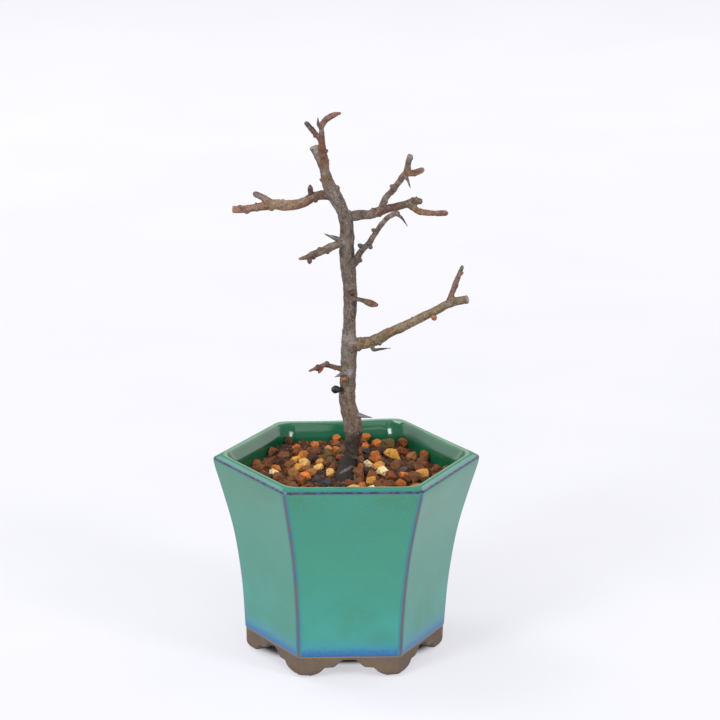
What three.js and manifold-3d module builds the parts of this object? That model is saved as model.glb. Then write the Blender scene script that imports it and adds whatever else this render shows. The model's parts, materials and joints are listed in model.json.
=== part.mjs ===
// Leafless flowering quince bonsai in a glazed hexagonal pot.
// Millimetres, +Z up. The origin is on the ground under the middle of the pot, whose front looks along -Y.
import * as THREE from "three";
import { mergeVertices } from "three/addons/utils/BufferGeometryUtils.js";
import Module from "manifold-3d";

const wasm = await Module();
wasm.setup();

// Pot: corner radius and height of the outer wall, from the glaze line up to the outer edge of the rim
const WALL_CURVE = [
  [37.7, 9.3],
  [39.3, 28],
  [42.7, 48],
  [47.2, 64],
  [50.4, 76.2],
];
const WALL_STEPS = 8;
const WALL_THICKNESS = 4.4;
const CORNER_ROUND = 3;
const INNER_ROUND = 7;
const RIM_TOP = 77.8;
const LIP_WIDTH = 3.8;
// The lip is eased at its outer edge and where it turns down into the cavity
const LIP_EDGE = 0.5;
const LIP_TURN = [0.8, 0.4];
const CAVITY_LEVELS = [17, 30, 48, 64, 74.2];
const FLOOR_TOP = 14;
const FLOOR_ROUND = 3;
const UNDERSIDE = 8.8;
const DRAIN_RADIUS = 6;
const CORNER_SEGMENTS = 3;
const SIDE_HALF_ANGLE = Math.PI / 6;

// Feet: one bracket foot at each corner, parted by a cloud-cut arch in the middle of each face
const GLAZE_LINE = 9.3;
const GLAZE_STEP = 0.25;
const FOOT_CORNER_RADIUS = 34;
const FOOT_EDGE_ROUND = 3;
const FOOT_EDGE_TURNS = [30, 60, 90];
const FOOT_NECK = 0.5;
const FOOT_INNER_APOTHEM = 26.4;
const ARCH_TOP = 8.3;
const ARCH_TOP_HALF = 3;
const ARCH_SHOULDER = 5.1;
const ARCH_SHOULDER_HALF = [6.2, 9];
const ARCH_FOOT_HALF = 13.4;
// How far the arch's curves bulge at the shoulder and at the foot, and how far its cutter overshoots the pot
const ARCH_SHOULDER_CURVE = 1.2;
const ARCH_SHOULDER_SLOPE = 0.3;
const ARCH_FOOT_CURVE = [2.4, 2.2];
const ARCH_OVERSHOOT = 1;
const ARCH_DEPTH = 12;
const ARCH_START = 2;

// Drain net: a square of plastic mesh over the drain hole
const NET_SIDE = 21;
const NET_BAR = 1;
const NET_HOLES = 4;

// Soil: a low mound round the trunk, of loose grains, that rises a little towards the back
const CLEARANCE = 0.35;
const STEM_CLEARANCE = 0.45;
const MOUND_TOP = 72.8;
const SOIL_EDGE = 69.4;
const MOUND_REACH = 23;
const SOIL_BACK_RISE = 2.6;
const BACK_RISE_FROM = 5;
const BACK_RISE_TO = 38;
const BED_DEPTH = 1.3;
const BED_RINGS = [1, 0.75, 0.5, 0.25];
const GRAIN_PITCH = 5.2;
const GRAIN_RADIUS = [2.3, 3.2];
const GRAIN_SINK = 0.4;
const GRAIN_JITTER = 0.4;
const GRAIN_FIELD = 45;
// A grain of the lattice keeps this share of the two radii from a chosen grain, and of its own from the wall
const CHOSEN_ROOM = 0.82;
const WALL_ROOM = 0.8;
const CORNER_LOSS = 1.6;
// A grain's shape: the least reach of a corner, its width, its height and its tilt, each with its spread
const CORNER_REACH = [0.75, 0.4];
const GRAIN_WIDTH = [0.95, 0.2];
const GRAIN_HEIGHT = [0.75, 0.2];
const GRAIN_TILT = 1.2;
const GRAIN_SEED = 20417;
// One in so many grains stands this much higher than its neighbours
const HIGH_SHARE = 0.16;
const HIGH_RISE = 1.2;

// Grains that stand out by size or place: x, y, radius, and how far they stand above the rest
const CHOSEN_GRAINS = [
  [-15.7, 8.4, 3, 0.4],
  [-10.4, 0.7, 2.2, 0.3],
  [-6.4, -6, 2.2, 0.3],
  [-5.7, 23.7, 2.1, 0.2],
  [13.2, -3.6, 2.9, 0.4],
  [18.9, 19.2, 3.5, 0.4],
  [9.6, 35.6, 2, 1.4],
  [-2, 35.8, 2.2, 0.8],
  [-10.6, 29.4, 2.7, 0],
  [-17.6, 27.7, 2.2, 0],
  [11.9, 17.9, 2.4, 0],
  [8.6, 26.9, 2, 0.2],
  [-16, -7.4, 2.3, 0.2],
  [-19.6, -3.8, 2.8, 0.2],
  [21.1, -4.4, 2.1, 0],
  [19.2, -14.4, 2.4, 0],
  [-26.1, 5.7, 2.2, 0],
  [28.9, -1.2, 2.9, 0.2],
  [25.5, 9.3, 2.6, 0],
  [18.1, 30.5, 3, 0.3],
  [-27, 24.1, 2.8, 0],
  [-20.2, 34, 2.4, 0.6],
  [-32.6, 8.5, 2.6, 0],
  [-11.3, -10.7, 2.6, 0],
  [-8.1, -15, 2.2, 0],
  [-22.9, 18.6, 3, 0],
];

// Tree: each limb is its centre line, as x, y, z and radius, from inside what it grows from out to its tip
const TRUNK = [
  [0, -1, 59, 2.6],
  [0, -1, 66, 3.4],
  [-0.2, -1, 70.5, 3.3],
  [0.9, 0, 79, 2.9],
  [0.8, 0.5, 92, 3],
  [0.4, 1.5, 101, 2.9],
  [0.5, 2, 109, 2.8],
  [0.8, 2.2, 118.5, 3],
  [0.4, 1.6, 129.5, 2.4],
  [0.4, 0.8, 137.5, 2.4],
  [-0.2, 0, 146, 2.4],
  [-0.8, -0.8, 154.5, 2.65],
  [-1.1, -1, 162.5, 2.4],
  [-1.4, -0.8, 168.5, 2.4],
  [-3.5, 0, 173, 2.4],
  [-5.7, 0.8, 177.8, 2.7],
  [-8.1, 0.5, 182.5, 2.2],
  [-9.4, -0.5, 187.5, 1.85],
  [-10.4, -2, 193.5, 1.45],
  [-10.9, -3.5, 198.5, 1.2],
  [-10.9, -4.5, 202, 1],
  [-11.1, -5.5, 206.5, 0.85],
];
const ROOTS = [
  [[-0.2, -1, 75, 2.6], [-0.8, -5, 73.2, 2.9], [-1.6, -10, 70.2, 3], [-2.4, -14, 66, 1.8]],
  [[0.4, 0, 74, 2.2], [3.4, 3, 71.6, 1.8], [6, 6.5, 68.5, 1.3]],
  [[0, 0, 74, 2.2], [-3, 3.4, 71.6, 1.8], [-6, 6, 68.5, 1.2]],
];
const BRANCHES = [
  // lower right, towards the front, cut flat at its end
  [[1.2, 1, 120.5, 2.2], [3.7, -0.4, 121.7, 1.95], [7.2, -2.2, 122.6, 1.8], [10.9, -4, 124.3, 1.7],
    [14.7, -5.6, 127.1, 1.65], [19.2, -7.4, 129.6, 1.6], [26, -10, 133.9, 1.5], [32, -12.2, 137.6, 1.45],
    [36.5, -13.8, 140.5, 1.45], [42.8, -16, 142.6, 1.35]],
  // upper left, towards the back, with its low fork
  [[-6, 0.8, 178, 1.9], [-8.9, 1.5, 177.9, 1.6], [-13.3, 3, 176.8, 1.5], [-16.9, 4.2, 174.2, 1.55],
    [-19.8, 5, 173, 1.5], [-24.1, 6, 172.6, 1.55], [-28, 7, 172.9, 1.4], [-31.3, 7.6, 171.9, 1.15],
    [-33.9, 8, 171.6, 1.05], [-37.9, 8.6, 170.8, 1], [-42.7, 9.5, 170.6, 0.9]],
  // upper right, towards the back
  [[-2.3, -0.6, 169.6, 1.8], [3.3, 2.5, 170, 1.6], [7.7, 5, 169.7, 1.55], [11.4, 7, 170.3, 1.5],
    [14.3, 8.6, 170.9, 1.4], [18, 10.5, 171.3, 1.3], [21.7, 12.3, 171.8, 1.25], [24.7, 13.6, 172.4, 1.1],
    [27.6, 14.9, 172.2, 0.7]],
  // upright shoot of the upper right branch, towards the front
  [[11.8, 7.2, 170, 1.2], [12.4, 6.6, 172.6, 1.1], [13.7, 5.2, 176.2, 1.2], [15.7, 3.8, 178.7, 1.1],
    [17.6, 1.8, 182, 1.05], [19.6, -0.2, 185.3, 1.05], [20.8, -1.6, 187.4, 1.1], [21, -3.5, 190.7, 1],
    [21.6, -5.5, 194.1, 0.8]],
  // middle right, towards the front
  [[-0.2, -0.8, 151.5, 1.5], [2.1, -3, 153.5, 1.2], [3.1, -4.2, 156.3, 1.05], [4.7, -5.6, 159.2, 1.05],
    [6.7, -7, 161.4, 1], [8, -8.4, 164.2, 1], [11, -11, 169.6, 0.95], [12.9, -12.4, 172.3, 0.9],
    [14.9, -13.6, 174, 0.9], [16.6, -14.4, 174.6, 0.8]],
  // middle left, towards the front
  [[-1, -1, 161, 1.6], [-4.6, -4, 160.5, 1.3], [-9.2, -7.6, 159.5, 1.2], [-12.1, -9.8, 158.8, 1.2],
    [-14.5, -11.6, 158.2, 1.15], [-16.4, -13, 157.9, 1], [-19, -14.8, 157.7, 0.7]],
];
const TWIGS = [
  // high fork of the upper left branch
  [[-28.2, 6.8, 172.8, 1.2], [-31.9, 8.8, 175.3, 0.95], [-34.6, 10, 176.1, 0.6]],
  // end of the upper right branch
  [[21.8, 12.4, 171.9, 1.15], [23.9, 12.8, 171.2, 1], [26.5, 13, 169.1, 0.95], [32.5, 12.8, 167.8, 0.95],
    [37.1, 12.4, 167.9, 0.75]],
  // side spur of the upright shoot
  [[20.2, -1.4, 186.9, 0.9], [22.6, -0.4, 186.5, 0.95], [24.1, 0.2, 186.5, 1], [26.8, 1.4, 187.1, 0.65]],
  // twig of the lower right branch
  [[36, -13.7, 140.2, 1], [36.4, -13.6, 142, 0.85], [38.4, -12.6, 147.4, 0.8], [40.8, -11.4, 153.3, 0.6]],
  // lower left
  [[-0.8, 0.6, 111, 1.3], [-5, -2.6, 112.7, 0.9], [-9.1, -5.8, 114.8, 0.85], [-11, -7, 114.4, 0.75],
    [-15, -9.5, 114.2, 0.45]],
  // short shoot on the right of the trunk, with a fat bud
  [[0.8, -0.4, 138.7, 1.2], [4.8, -3, 138.4, 0.95], [7, -4.4, 137.8, 0.95], [8.5, -5.4, 137.7, 1.1],
    [10, -6.4, 137.7, 0.65]],
  // top: right shoot, left shoot and the old cut stub
  [[-11, -5.3, 205.6, 0.85], [-9.2, -6.5, 208.5, 0.85], [-7.5, -8, 209.4, 0.8], [-4.6, -10.1, 210.5, 0.5]],
  [[-10.9, -3.8, 199.2, 0.9], [-12.1, -3, 200.7, 0.8], [-14.4, -1.5, 203, 0.75], [-16.4, -0.1, 205.3, 0.5]],
  [[-10.3, -2.2, 194.7, 1.4], [-12.6, -3.5, 195.4, 1.6], [-14.2, -4.5, 196.6, 1.25], [-15.6, -5.4, 197, 0.8]],
];
const THORNS = [
  [[-11, -5, 204, 0.8], [-12, -4.5, 205.6, 0.6], [-12.3, -3, 207.7, 0.3]],
  [[19.7, -0.3, 185.5, 0.8], [21.2, -1.4, 184.4, 0.6], [22.2, -3.2, 181.8, 0.3]],
  [[16, -14.2, 174.4, 0.8], [17.9, -15.2, 173.2, 0.5], [20.1, -16.5, 170.3, 0.3]],
  [[-3, -2.2, 161, 0.8], [-6.8, -2.4, 162.9, 0.5], [-9.6, -1.6, 163.7, 0.3]],
  [[5.6, -1.8, 122, 1], [9, -4.4, 119.9, 0.6], [11.7, -5.6, 120.8, 0.5], [15.1, -7.1, 121.5, 0.3]],
  [[0, 1, 110, 1], [-2.6, -2, 110.4, 0.6], [-5.1, -3.9, 109.9, 0.3]],
  [[1.2, 0.8, 93.8, 1.1], [4.2, -1, 93.6, 0.8], [6.6, -2, 93.5, 0.55], [9.2, -2.9, 93.5, 0.3]],
  [[0.4, 1.5, 131, 0.9], [2.2, 5, 132.5, 0.55], [3, 8, 132.8, 0.3]],
];

// Buds: where each is rooted, where its tip is, and its widest radius
const BUDS = [
  [[-14.6, 3.4, 175.8], [-14.7, 2.5, 181.4], 0.85],
  [[-15.1, -12, 158.2], [-15.4, -12.6, 155.6], 0.75],
  [[-9.7, -6.2, 114.4], [-11.5, -7.4, 112.5], 0.65],
  [[0.6, -0.8, 140.6], [1.2, -3.6, 142.6], 0.9],
  [[-0.8, 0, 107.2], [-1.9, -2.9, 108.2], 1.25],
  [[-1, 0.4, 103.6], [-6, -3.1, 104.1], 1.45],
  [[30.8, -12, 137], [30.5, -12.7, 133.4], 0.95],
  [[14.2, -5.8, 127.2], [14.4, -7.8, 129.2], 0.8],
  [[39.5, -12, 150.4], [41.6, -12, 152.4], 0.6],
  [[-8.6, 0.2, 183.3], [-11.5, -0.4, 184], 1.05],
  [[-7.5, 0.4, 181.1], [-3.9, -0.6, 180.8], 1.25],
  [[-9.9, -2, 193.2], [-7.6, -3.1, 193.9], 0.85],
  [[11.2, -4.2, 124.4], [11.3, -5.5, 121.9], 1],
  [[-33.9, 8, 171.8], [-34.6, 7.4, 173.6], 0.65],
  [[-39.6, 9, 170.8], [-40.2, 8, 172.6], 0.65],
  [[-38.2, 8.6, 170.8], [-39, 8, 168.6], 0.65],
  [[-0.8, 1, 162.4], [-0.4, 3.2, 163.6], 0.85],
  [[0, 4, 118], [-1.8, 6.4, 119.2], 0.9],
];

// Nodes of the bark: small swellings along each branch, one to each side in turn
const NODE_PITCH = 5.2;
const NODE_JITTER = 0.3;
const NODE_SWELL = 0.42;
const NODE_SWELL_SHARE = 0.25;
const NODE_SINK = 0.6;
const NODE_RISE = 0.9;
const NODE_UP = [-0.42, 1.4];
const NODE_SEED = 7331;

// Share of the length and of the widest radius, from root to tip
const BUD_SHAPE = [
  [0, 0.8],
  [0.45, 1],
  [0.8, 0.6],
  [0.95, 0.25],
];
const SWELLING_SHAPE = [
  [0, 1],
  [0.6, 0.75],
];

const TRUNK_SIDES = 10;
const BRANCH_SIDES = 6;
const TWIG_SIDES = 5;
const THORN_SIDES = 4;

// Draws the same numbers from the same seed each run, each from 0 to 1
function seededDraw(seed) {
  let state = seed;
  return () => {
    state = (state * 16807) % 2147483647;
    return state / 2147483647;
  };
}

// Turns rings of points into one closed surface. A ring of one point is a tip. A looped surface has no ends.
function surfaceOf(rings, looped = false) {
  const position = rings.flat().flatMap((p) => [p.x, p.y, p.z]);
  const starts = [];
  let count = 0;
  for (const ring of rings) {
    starts.push(count);
    count += ring.length;
  }
  const index = [];
  const spans = looped ? rings.length : rings.length - 1;
  for (let i = 0; i < spans; i++) {
    const next = (i + 1) % rings.length;
    const sides = Math.max(rings[i].length, rings[next].length);
    const corner = (ring, k) => starts[ring] + (rings[ring].length > 1 ? k % sides : 0);
    for (let k = 0; k < sides; k++) {
      const high = corner(next, k);
      if (rings[i].length > 1) index.push(corner(i, k), corner(i, k + 1), high);
      if (rings[next].length > 1) index.push(corner(i, k + 1), corner(next, k + 1), high);
    }
  }
  const geometry = new THREE.BufferGeometry();
  geometry.setAttribute("position", new THREE.Float32BufferAttribute(position, 3));
  geometry.setIndex(index);
  return geometry;
}

// A closed geometry as a solid that can be joined and cut
function solidOf(geometry) {
  const bare = geometry.clone();
  bare.deleteAttribute("normal");
  bare.deleteAttribute("uv");
  const merged = mergeVertices(bare, 1e-4);
  return new wasm.Manifold(
    new wasm.Mesh({
      numProp: 3,
      vertProperties: merged.attributes.position.array,
      triVerts: new Uint32Array(merged.index.array),
    }),
  );
}

// A solid as a geometry again
function geometryOf(solid) {
  const mesh = solid.getMesh();
  const geometry = new THREE.BufferGeometry();
  geometry.setAttribute("position", new THREE.BufferAttribute(mesh.vertProperties, 3));
  geometry.setIndex(new THREE.BufferAttribute(mesh.triVerts, 1));
  return geometry;
}

// Apothem of a hexagon whose rounded corner reaches the given radius
function apothemOf(cornerRadius, rounding) {
  return (cornerRadius - rounding) * Math.cos(SIDE_HALF_ANGLE) + rounding;
}

// A level hexagon with rounded corners, one of them at +X. Rounded by its whole apothem it is a circle.
function hexRing(apothem, rounding, z) {
  const centre = (apothem - rounding) / Math.cos(SIDE_HALF_ANGLE);
  const ring = [];
  for (let corner = 0; corner < 6; corner++) {
    const middle = (corner * Math.PI) / 3;
    for (let k = 0; k <= CORNER_SEGMENTS; k++) {
      const turn = middle + (2 * k / CORNER_SEGMENTS - 1) * SIDE_HALF_ANGLE;
      const x = centre * Math.cos(middle) + rounding * Math.cos(turn);
      const y = centre * Math.sin(middle) + rounding * Math.sin(turn);
      ring.push(new THREE.Vector3(x, y, z));
    }
  }
  return ring;
}

const wallCurve = new THREE.SplineCurve(WALL_CURVE.map(([radius, z]) => new THREE.Vector2(radius, z)));
const wallLevels = wallCurve.getPoints(WALL_STEPS);
const RIM_EDGE = WALL_CURVE.at(-1)[1];

// Apothem of the outer wall at a height
function wallApothem(z) {
  const above = Math.max(1, wallLevels.findIndex((level) => level.y >= z));
  const [low, high] = [wallLevels[above - 1], wallLevels[above]];
  const share = (z - low.y) / (high.y - low.y);
  return apothemOf(THREE.MathUtils.lerp(low.x, high.x, share), CORNER_ROUND);
}

// Apothem of the cavity at a height, straight between its levels
function cavityApothem(z) {
  const above = Math.max(1, CAVITY_LEVELS.findIndex((level) => level >= z));
  const [low, high] = [CAVITY_LEVELS[above - 1], CAVITY_LEVELS[above]];
  const share = (z - low) / (high - low);
  return THREE.MathUtils.lerp(wallApothem(low), wallApothem(high), share) - WALL_THICKNESS;
}

// The arch between two feet, as a prism that cuts through one face from outside
function archCutter() {
  const [inner, outer] = ARCH_SHOULDER_HALF;
  const curve = ARCH_SHOULDER_CURVE;
  const step = ARCH_SHOULDER + ARCH_SHOULDER_SLOPE;
  const waist = ARCH_SHOULDER + curve;
  const [footOut, footDown] = ARCH_FOOT_CURVE;
  const foot = ARCH_FOOT_HALF + ARCH_OVERSHOOT;
  const outline = new THREE.Shape();
  outline.moveTo(-foot, -ARCH_OVERSHOOT);
  outline.lineTo(foot, -ARCH_OVERSHOOT);
  outline.quadraticCurveTo(outer + footOut, ARCH_SHOULDER - footDown, outer, ARCH_SHOULDER);
  outline.lineTo(inner, step);
  outline.bezierCurveTo(inner - curve, waist, ARCH_TOP_HALF + curve, ARCH_TOP, ARCH_TOP_HALF, ARCH_TOP);
  outline.lineTo(-ARCH_TOP_HALF, ARCH_TOP);
  outline.bezierCurveTo(-ARCH_TOP_HALF - curve, ARCH_TOP, -inner + curve, waist, -inner, step);
  outline.lineTo(-outer, ARCH_SHOULDER);
  outline.quadraticCurveTo(-outer - footOut, ARCH_SHOULDER - footDown, -foot, -ARCH_OVERSHOOT);
  const settings = { depth: ARCH_DEPTH, bevelEnabled: false, curveSegments: 4 };
  const prism = new THREE.ExtrudeGeometry(outline, settings);
  prism.rotateX(Math.PI / 2);
  prism.translate(0, ARCH_START - FOOT_INNER_APOTHEM, 0);
  return prism;
}

function potGeometry() {
  const rings = [];
  const add = (apothem, rounding, z) => rings.push(hexRing(apothem, rounding, z));
  const footApothem = apothemOf(FOOT_CORNER_RADIUS, FOOT_EDGE_ROUND);
  const glazeApothem = wallApothem(GLAZE_LINE);
  // outside of the feet, rounded in to the ground
  add(footApothem, CORNER_ROUND, 0);
  for (const turn of FOOT_EDGE_TURNS) {
    const angle = THREE.MathUtils.degToRad(turn);
    const out = (glazeApothem - GLAZE_STEP - FOOT_NECK - footApothem) * Math.sin(angle);
    add(footApothem + out, CORNER_ROUND, FOOT_EDGE_ROUND * (1 - Math.cos(angle)));
  }
  add(glazeApothem - GLAZE_STEP, CORNER_ROUND, GLAZE_LINE - GLAZE_STEP);
  // glazed wall and sloping lip
  for (const level of wallLevels) add(wallApothem(level.y), CORNER_ROUND, level.y);
  const rimApothem = wallApothem(RIM_EDGE);
  const [turnOut, turnDown] = LIP_TURN;
  add(rimApothem - LIP_EDGE, CORNER_ROUND, RIM_EDGE + LIP_EDGE);
  add(rimApothem - LIP_WIDTH + turnOut, INNER_ROUND, RIM_TOP);
  add(rimApothem - LIP_WIDTH, INNER_ROUND, RIM_TOP - turnDown);
  // inside
  for (const z of CAVITY_LEVELS.toReversed()) add(cavityApothem(z), INNER_ROUND, z);
  add(cavityApothem(CAVITY_LEVELS[0]) - FLOOR_ROUND, INNER_ROUND, FLOOR_TOP);
  // drain hole, recess under the floor and inside of the feet
  add(DRAIN_RADIUS, DRAIN_RADIUS, FLOOR_TOP);
  add(DRAIN_RADIUS, DRAIN_RADIUS, UNDERSIDE);
  add(FOOT_INNER_APOTHEM, CORNER_ROUND, UNDERSIDE);
  add(FOOT_INNER_APOTHEM, CORNER_ROUND, 0);
  let pot = solidOf(surfaceOf(rings, true));
  for (let face = 0; face < 6; face++) {
    pot = pot.subtract(solidOf(archCutter().rotateZ((face * Math.PI) / 3)));
  }
  return geometryOf(pot);
}

function netGeometry() {
  const bars = [];
  for (let i = 0; i <= NET_HOLES; i++) {
    const offset = (i / NET_HOLES - 0.5) * (NET_SIDE - NET_BAR);
    const lengthways = new THREE.BoxGeometry(NET_SIDE, NET_BAR, NET_BAR);
    const crossways = new THREE.BoxGeometry(NET_BAR, NET_SIDE, NET_BAR);
    bars.push(solidOf(lengthways.translate(0, offset, NET_BAR / 2)));
    bars.push(solidOf(crossways.translate(offset, 0, NET_BAR / 2)));
  }
  return geometryOf(wasm.Manifold.union(bars));
}

// Height of the soil at a place: a mound round the trunk that falls to the walls, a little higher at the back
function soilHeight(x, y) {
  const away = Math.hypot(x, y) / MOUND_REACH;
  const mound = SOIL_EDGE + (MOUND_TOP - SOIL_EDGE) * Math.exp(-away * away);
  return mound + SOIL_BACK_RISE * THREE.MathUtils.smoothstep(y, BACK_RISE_FROM, BACK_RISE_TO);
}

// Distance from a place to the nearest wall of the cavity at the height of the soil
function roomToWall(x, y) {
  let nearest = Infinity;
  for (let face = 0; face < 6; face++) {
    const angle = (2 * face + 1) * SIDE_HALF_ANGLE;
    const along = x * Math.cos(angle) + y * Math.sin(angle);
    nearest = Math.min(nearest, cavityApothem(SOIL_EDGE) - along);
  }
  const corner = cavityApothem(SOIL_EDGE) / Math.cos(SIDE_HALF_ANGLE) - CORNER_LOSS;
  return Math.min(nearest, corner - Math.hypot(x, y));
}

// One grain: a lump with rough corners and flat facets, sunk in the bed
function grainGeometry([x, y, radius, rise], draw) {
  const spread = ([least, more]) => least + more * draw();
  const ball = new THREE.IcosahedronGeometry(1, 0);
  const grain = mergeVertices(ball.deleteAttribute("normal").deleteAttribute("uv"));
  const position = grain.attributes.position;
  const point = new THREE.Vector3();
  for (let i = 0; i < position.count; i++) {
    point.fromBufferAttribute(position, i).multiplyScalar(spread(CORNER_REACH));
    position.setXYZ(i, point.x, point.y, point.z);
  }
  const wide = radius * spread(GRAIN_WIDTH);
  grain.scale(wide, radius, radius * spread(GRAIN_HEIGHT));
  grain.rotateX(GRAIN_TILT * (draw() - 0.5));
  grain.rotateY(GRAIN_TILT * (draw() - 0.5));
  grain.rotateZ(2 * Math.PI * draw());
  return grain.translate(x, y, soilHeight(x, y) - radius * GRAIN_SINK + rise);
}

// Places of all grains: the chosen ones, then a jittered triangular lattice in the room that is left
function grainPlaces(draw) {
  const places = CHOSEN_GRAINS.map((place) => [...place]);
  const rowPitch = GRAIN_PITCH * Math.sin(Math.PI / 3);
  const rows = Math.ceil(GRAIN_FIELD / rowPitch);
  for (let row = -rows; row <= rows; row++) {
    for (let column = -rows; column <= rows; column++) {
      const x = (column + 0.5 * (row & 1) + GRAIN_JITTER * (draw() - 0.5)) * GRAIN_PITCH;
      const y = (row + GRAIN_JITTER * (draw() - 0.5)) * rowPitch;
      const radius = THREE.MathUtils.lerp(...GRAIN_RADIUS, draw());
      const rise = draw() < HIGH_SHARE ? HIGH_RISE : 0;
      const clear = places
        .slice(0, CHOSEN_GRAINS.length)
        .every((other) => Math.hypot(other[0] - x, other[1] - y) > CHOSEN_ROOM * (other[2] + radius));
      if (clear && roomToWall(x, y) > radius * WALL_ROOM) places.push([x, y, radius, rise]);
    }
  }
  return places;
}

// The cavity from its floor up to its last level under a height, with the clearance taken off all round
function fillRings(top) {
  const bottom = FLOOR_TOP + CLEARANCE;
  const round = INNER_ROUND - CLEARANCE;
  const rings = [[new THREE.Vector3(0, 0, bottom)]];
  rings.push(hexRing(cavityApothem(CAVITY_LEVELS[0]) - FLOOR_ROUND - CLEARANCE, round, bottom));
  for (const z of CAVITY_LEVELS.filter((level) => level < top)) {
    rings.push(hexRing(cavityApothem(z) - CLEARANCE, round, z));
  }
  return rings;
}

// All the room in the cavity, which no grain may leave
function roomGeometry() {
  const rings = fillRings(RIM_TOP);
  const above = rings.at(-1).map((p) => new THREE.Vector3(p.x, p.y, RIM_TOP));
  return surfaceOf([...rings, above, [new THREE.Vector3(0, 0, RIM_TOP)]]);
}

// The bed under the grains: the filled cavity, with a low mound for a top
function bedGeometry() {
  const rings = fillRings(SOIL_EDGE - BED_DEPTH);
  const round = INNER_ROUND - CLEARANCE;
  const topApothem = cavityApothem(SOIL_EDGE - BED_DEPTH) - CLEARANCE;
  for (const share of BED_RINGS) {
    const ring = hexRing(topApothem * share, round * share, 0);
    for (const p of ring) p.z = soilHeight(p.x, p.y) - BED_DEPTH;
    rings.push(ring);
  }
  rings.push([new THREE.Vector3(0, 0, soilHeight(0, 0) - BED_DEPTH)]);
  return surfaceOf(rings);
}

function soilGeometry() {
  const draw = seededDraw(GRAIN_SEED);
  const grains = grainPlaces(draw).map((place) => solidOf(grainGeometry(place, draw)));
  const whole = wasm.Manifold.union([solidOf(bedGeometry()), ...grains]).intersect(solidOf(roomGeometry()));
  const side = NET_SIDE + 2 * CLEARANCE;
  const netRoom = new THREE.BoxGeometry(side, side, 2 * (NET_BAR + CLEARANCE));
  netRoom.translate(0, 0, FLOOR_TOP + CLEARANCE);
  const hole = wasm.Manifold.union(stemGeometries(STEM_CLEARANCE).map(solidOf));
  const deeperHole = hole.translate([0, 0, -CLEARANCE]);
  const cut = whole.subtract(wasm.Manifold.union([solidOf(netRoom), hole, deeperHole]));
  // a chip of a grain may be left loose between the roots, and is dropped
  return geometryOf(cut.decompose().reduce((a, b) => (a.volume() > b.volume() ? a : b)));
}

// A smooth curve through the points of a line
function curveAlong(line) {
  const points = line.map(([x, y, z]) => new THREE.Vector3(x, y, z));
  return new THREE.CatmullRomCurve3(points, false, "centripetal");
}

// A tapering limb along its line, with stepCount sections to each span. Its end is a "tip" or a flat "cut".
function limbGeometry(line, sides, stepCount, end) {
  const curve = curveAlong(line);
  const total = (line.length - 1) * stepCount;
  const across = new THREE.Vector3(1, 0.2, 0.1);
  const rings = [[curve.getPoint(0)]];
  for (let i = 0; i <= total; i++) {
    const at = i / total;
    const centre = curve.getPoint(at);
    const along = curve.getTangent(at);
    across.addScaledVector(along, -across.dot(along)).normalize();
    const other = new THREE.Vector3().crossVectors(along, across);
    const span = Math.min(Math.floor(i / stepCount), line.length - 2);
    const share = i / stepCount - span;
    const radius = THREE.MathUtils.lerp(line[span][3], line[span + 1][3], share);
    const ring = [];
    for (let k = 0; k < sides; k++) {
      const angle = (2 * Math.PI * k) / sides;
      const point = centre.clone();
      point.addScaledVector(across, radius * Math.cos(angle));
      point.addScaledVector(other, radius * Math.sin(angle));
      ring.push(point);
    }
    rings.push(ring);
  }
  const tip = curve.getPoint(1);
  if (end === "tip") tip.addScaledVector(curve.getTangent(1), line.at(-1)[3]);
  rings.push([tip]);
  return surfaceOf(rings);
}

// A plump pointed bud from its root to its tip, its radius given at each share of its length
function budGeometry([root, tip, radius], shape, sides) {
  const line = shape.map(([share, swell]) => [
    ...root.map((start, axis) => THREE.MathUtils.lerp(start, tip[axis], share)),
    radius * swell,
  ]);
  return limbGeometry(line, sides, 1, "tip");
}

// Small swellings along a branch, turned to each side in turn
function nodeGeometries(line, draw) {
  const curve = curveAlong(line);
  const [lowest, spread] = NODE_UP;
  const count = Math.floor(curve.getLength() / NODE_PITCH);
  const swellings = [];
  for (let i = 1; i <= count; i++) {
    const at = (i + NODE_JITTER * (draw() - 1)) / (count + 0.5);
    const centre = curve.getPoint(at);
    const along = curve.getTangent(at);
    const side = new THREE.Vector3(0, i % 2 ? -1 : 1, lowest + spread * draw());
    side.addScaledVector(along, -side.dot(along)).normalize();
    const radius = line[Math.round(at * (line.length - 1))][3];
    const root = centre.clone().addScaledVector(side, radius * (1 - NODE_SINK));
    const tip = root.clone().addScaledVector(side, radius * NODE_SINK + NODE_RISE);
    tip.addScaledVector(along, NODE_RISE);
    const size = NODE_SWELL + radius * NODE_SWELL_SHARE;
    swellings.push(budGeometry([root.toArray(), tip.toArray(), size], SWELLING_SHAPE, THORN_SIDES));
  }
  return swellings;
}

// The trunk and the roots, or the hole that they stand in when they are made wider
function stemGeometries(wider) {
  const widened = (line) => line.map(([x, y, z, radius]) => [x, y, z, radius + wider]);
  return [
    limbGeometry(widened(TRUNK), TRUNK_SIDES, 1, "tip"),
    ...ROOTS.map((line) => limbGeometry(widened(line), BRANCH_SIDES, 2, "tip")),
  ];
}

function treeGeometry() {
  const draw = seededDraw(NODE_SEED);
  const pieces = stemGeometries(0);
  for (const line of BRANCHES) {
    pieces.push(limbGeometry(line, BRANCH_SIDES, 1, "cut"), ...nodeGeometries(line, draw));
  }
  for (const line of TWIGS) pieces.push(limbGeometry(line, TWIG_SIDES, 1, "tip"));
  for (const line of THORNS) pieces.push(limbGeometry(line, THORN_SIDES, 1, "tip"));
  for (const bud of BUDS) pieces.push(budGeometry(bud, BUD_SHAPE, TWIG_SIDES));
  return geometryOf(wasm.Manifold.union(pieces.map(solidOf)));
}

// A named mesh with its own plain material
function piece(name, geometry, colour, roughness) {
  const material = new THREE.MeshStandardMaterial({ color: colour, roughness, metalness: 0 });
  material.flatShading = true;
  const mesh = new THREE.Mesh(geometry, material);
  mesh.name = name;
  return mesh;
}

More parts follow.
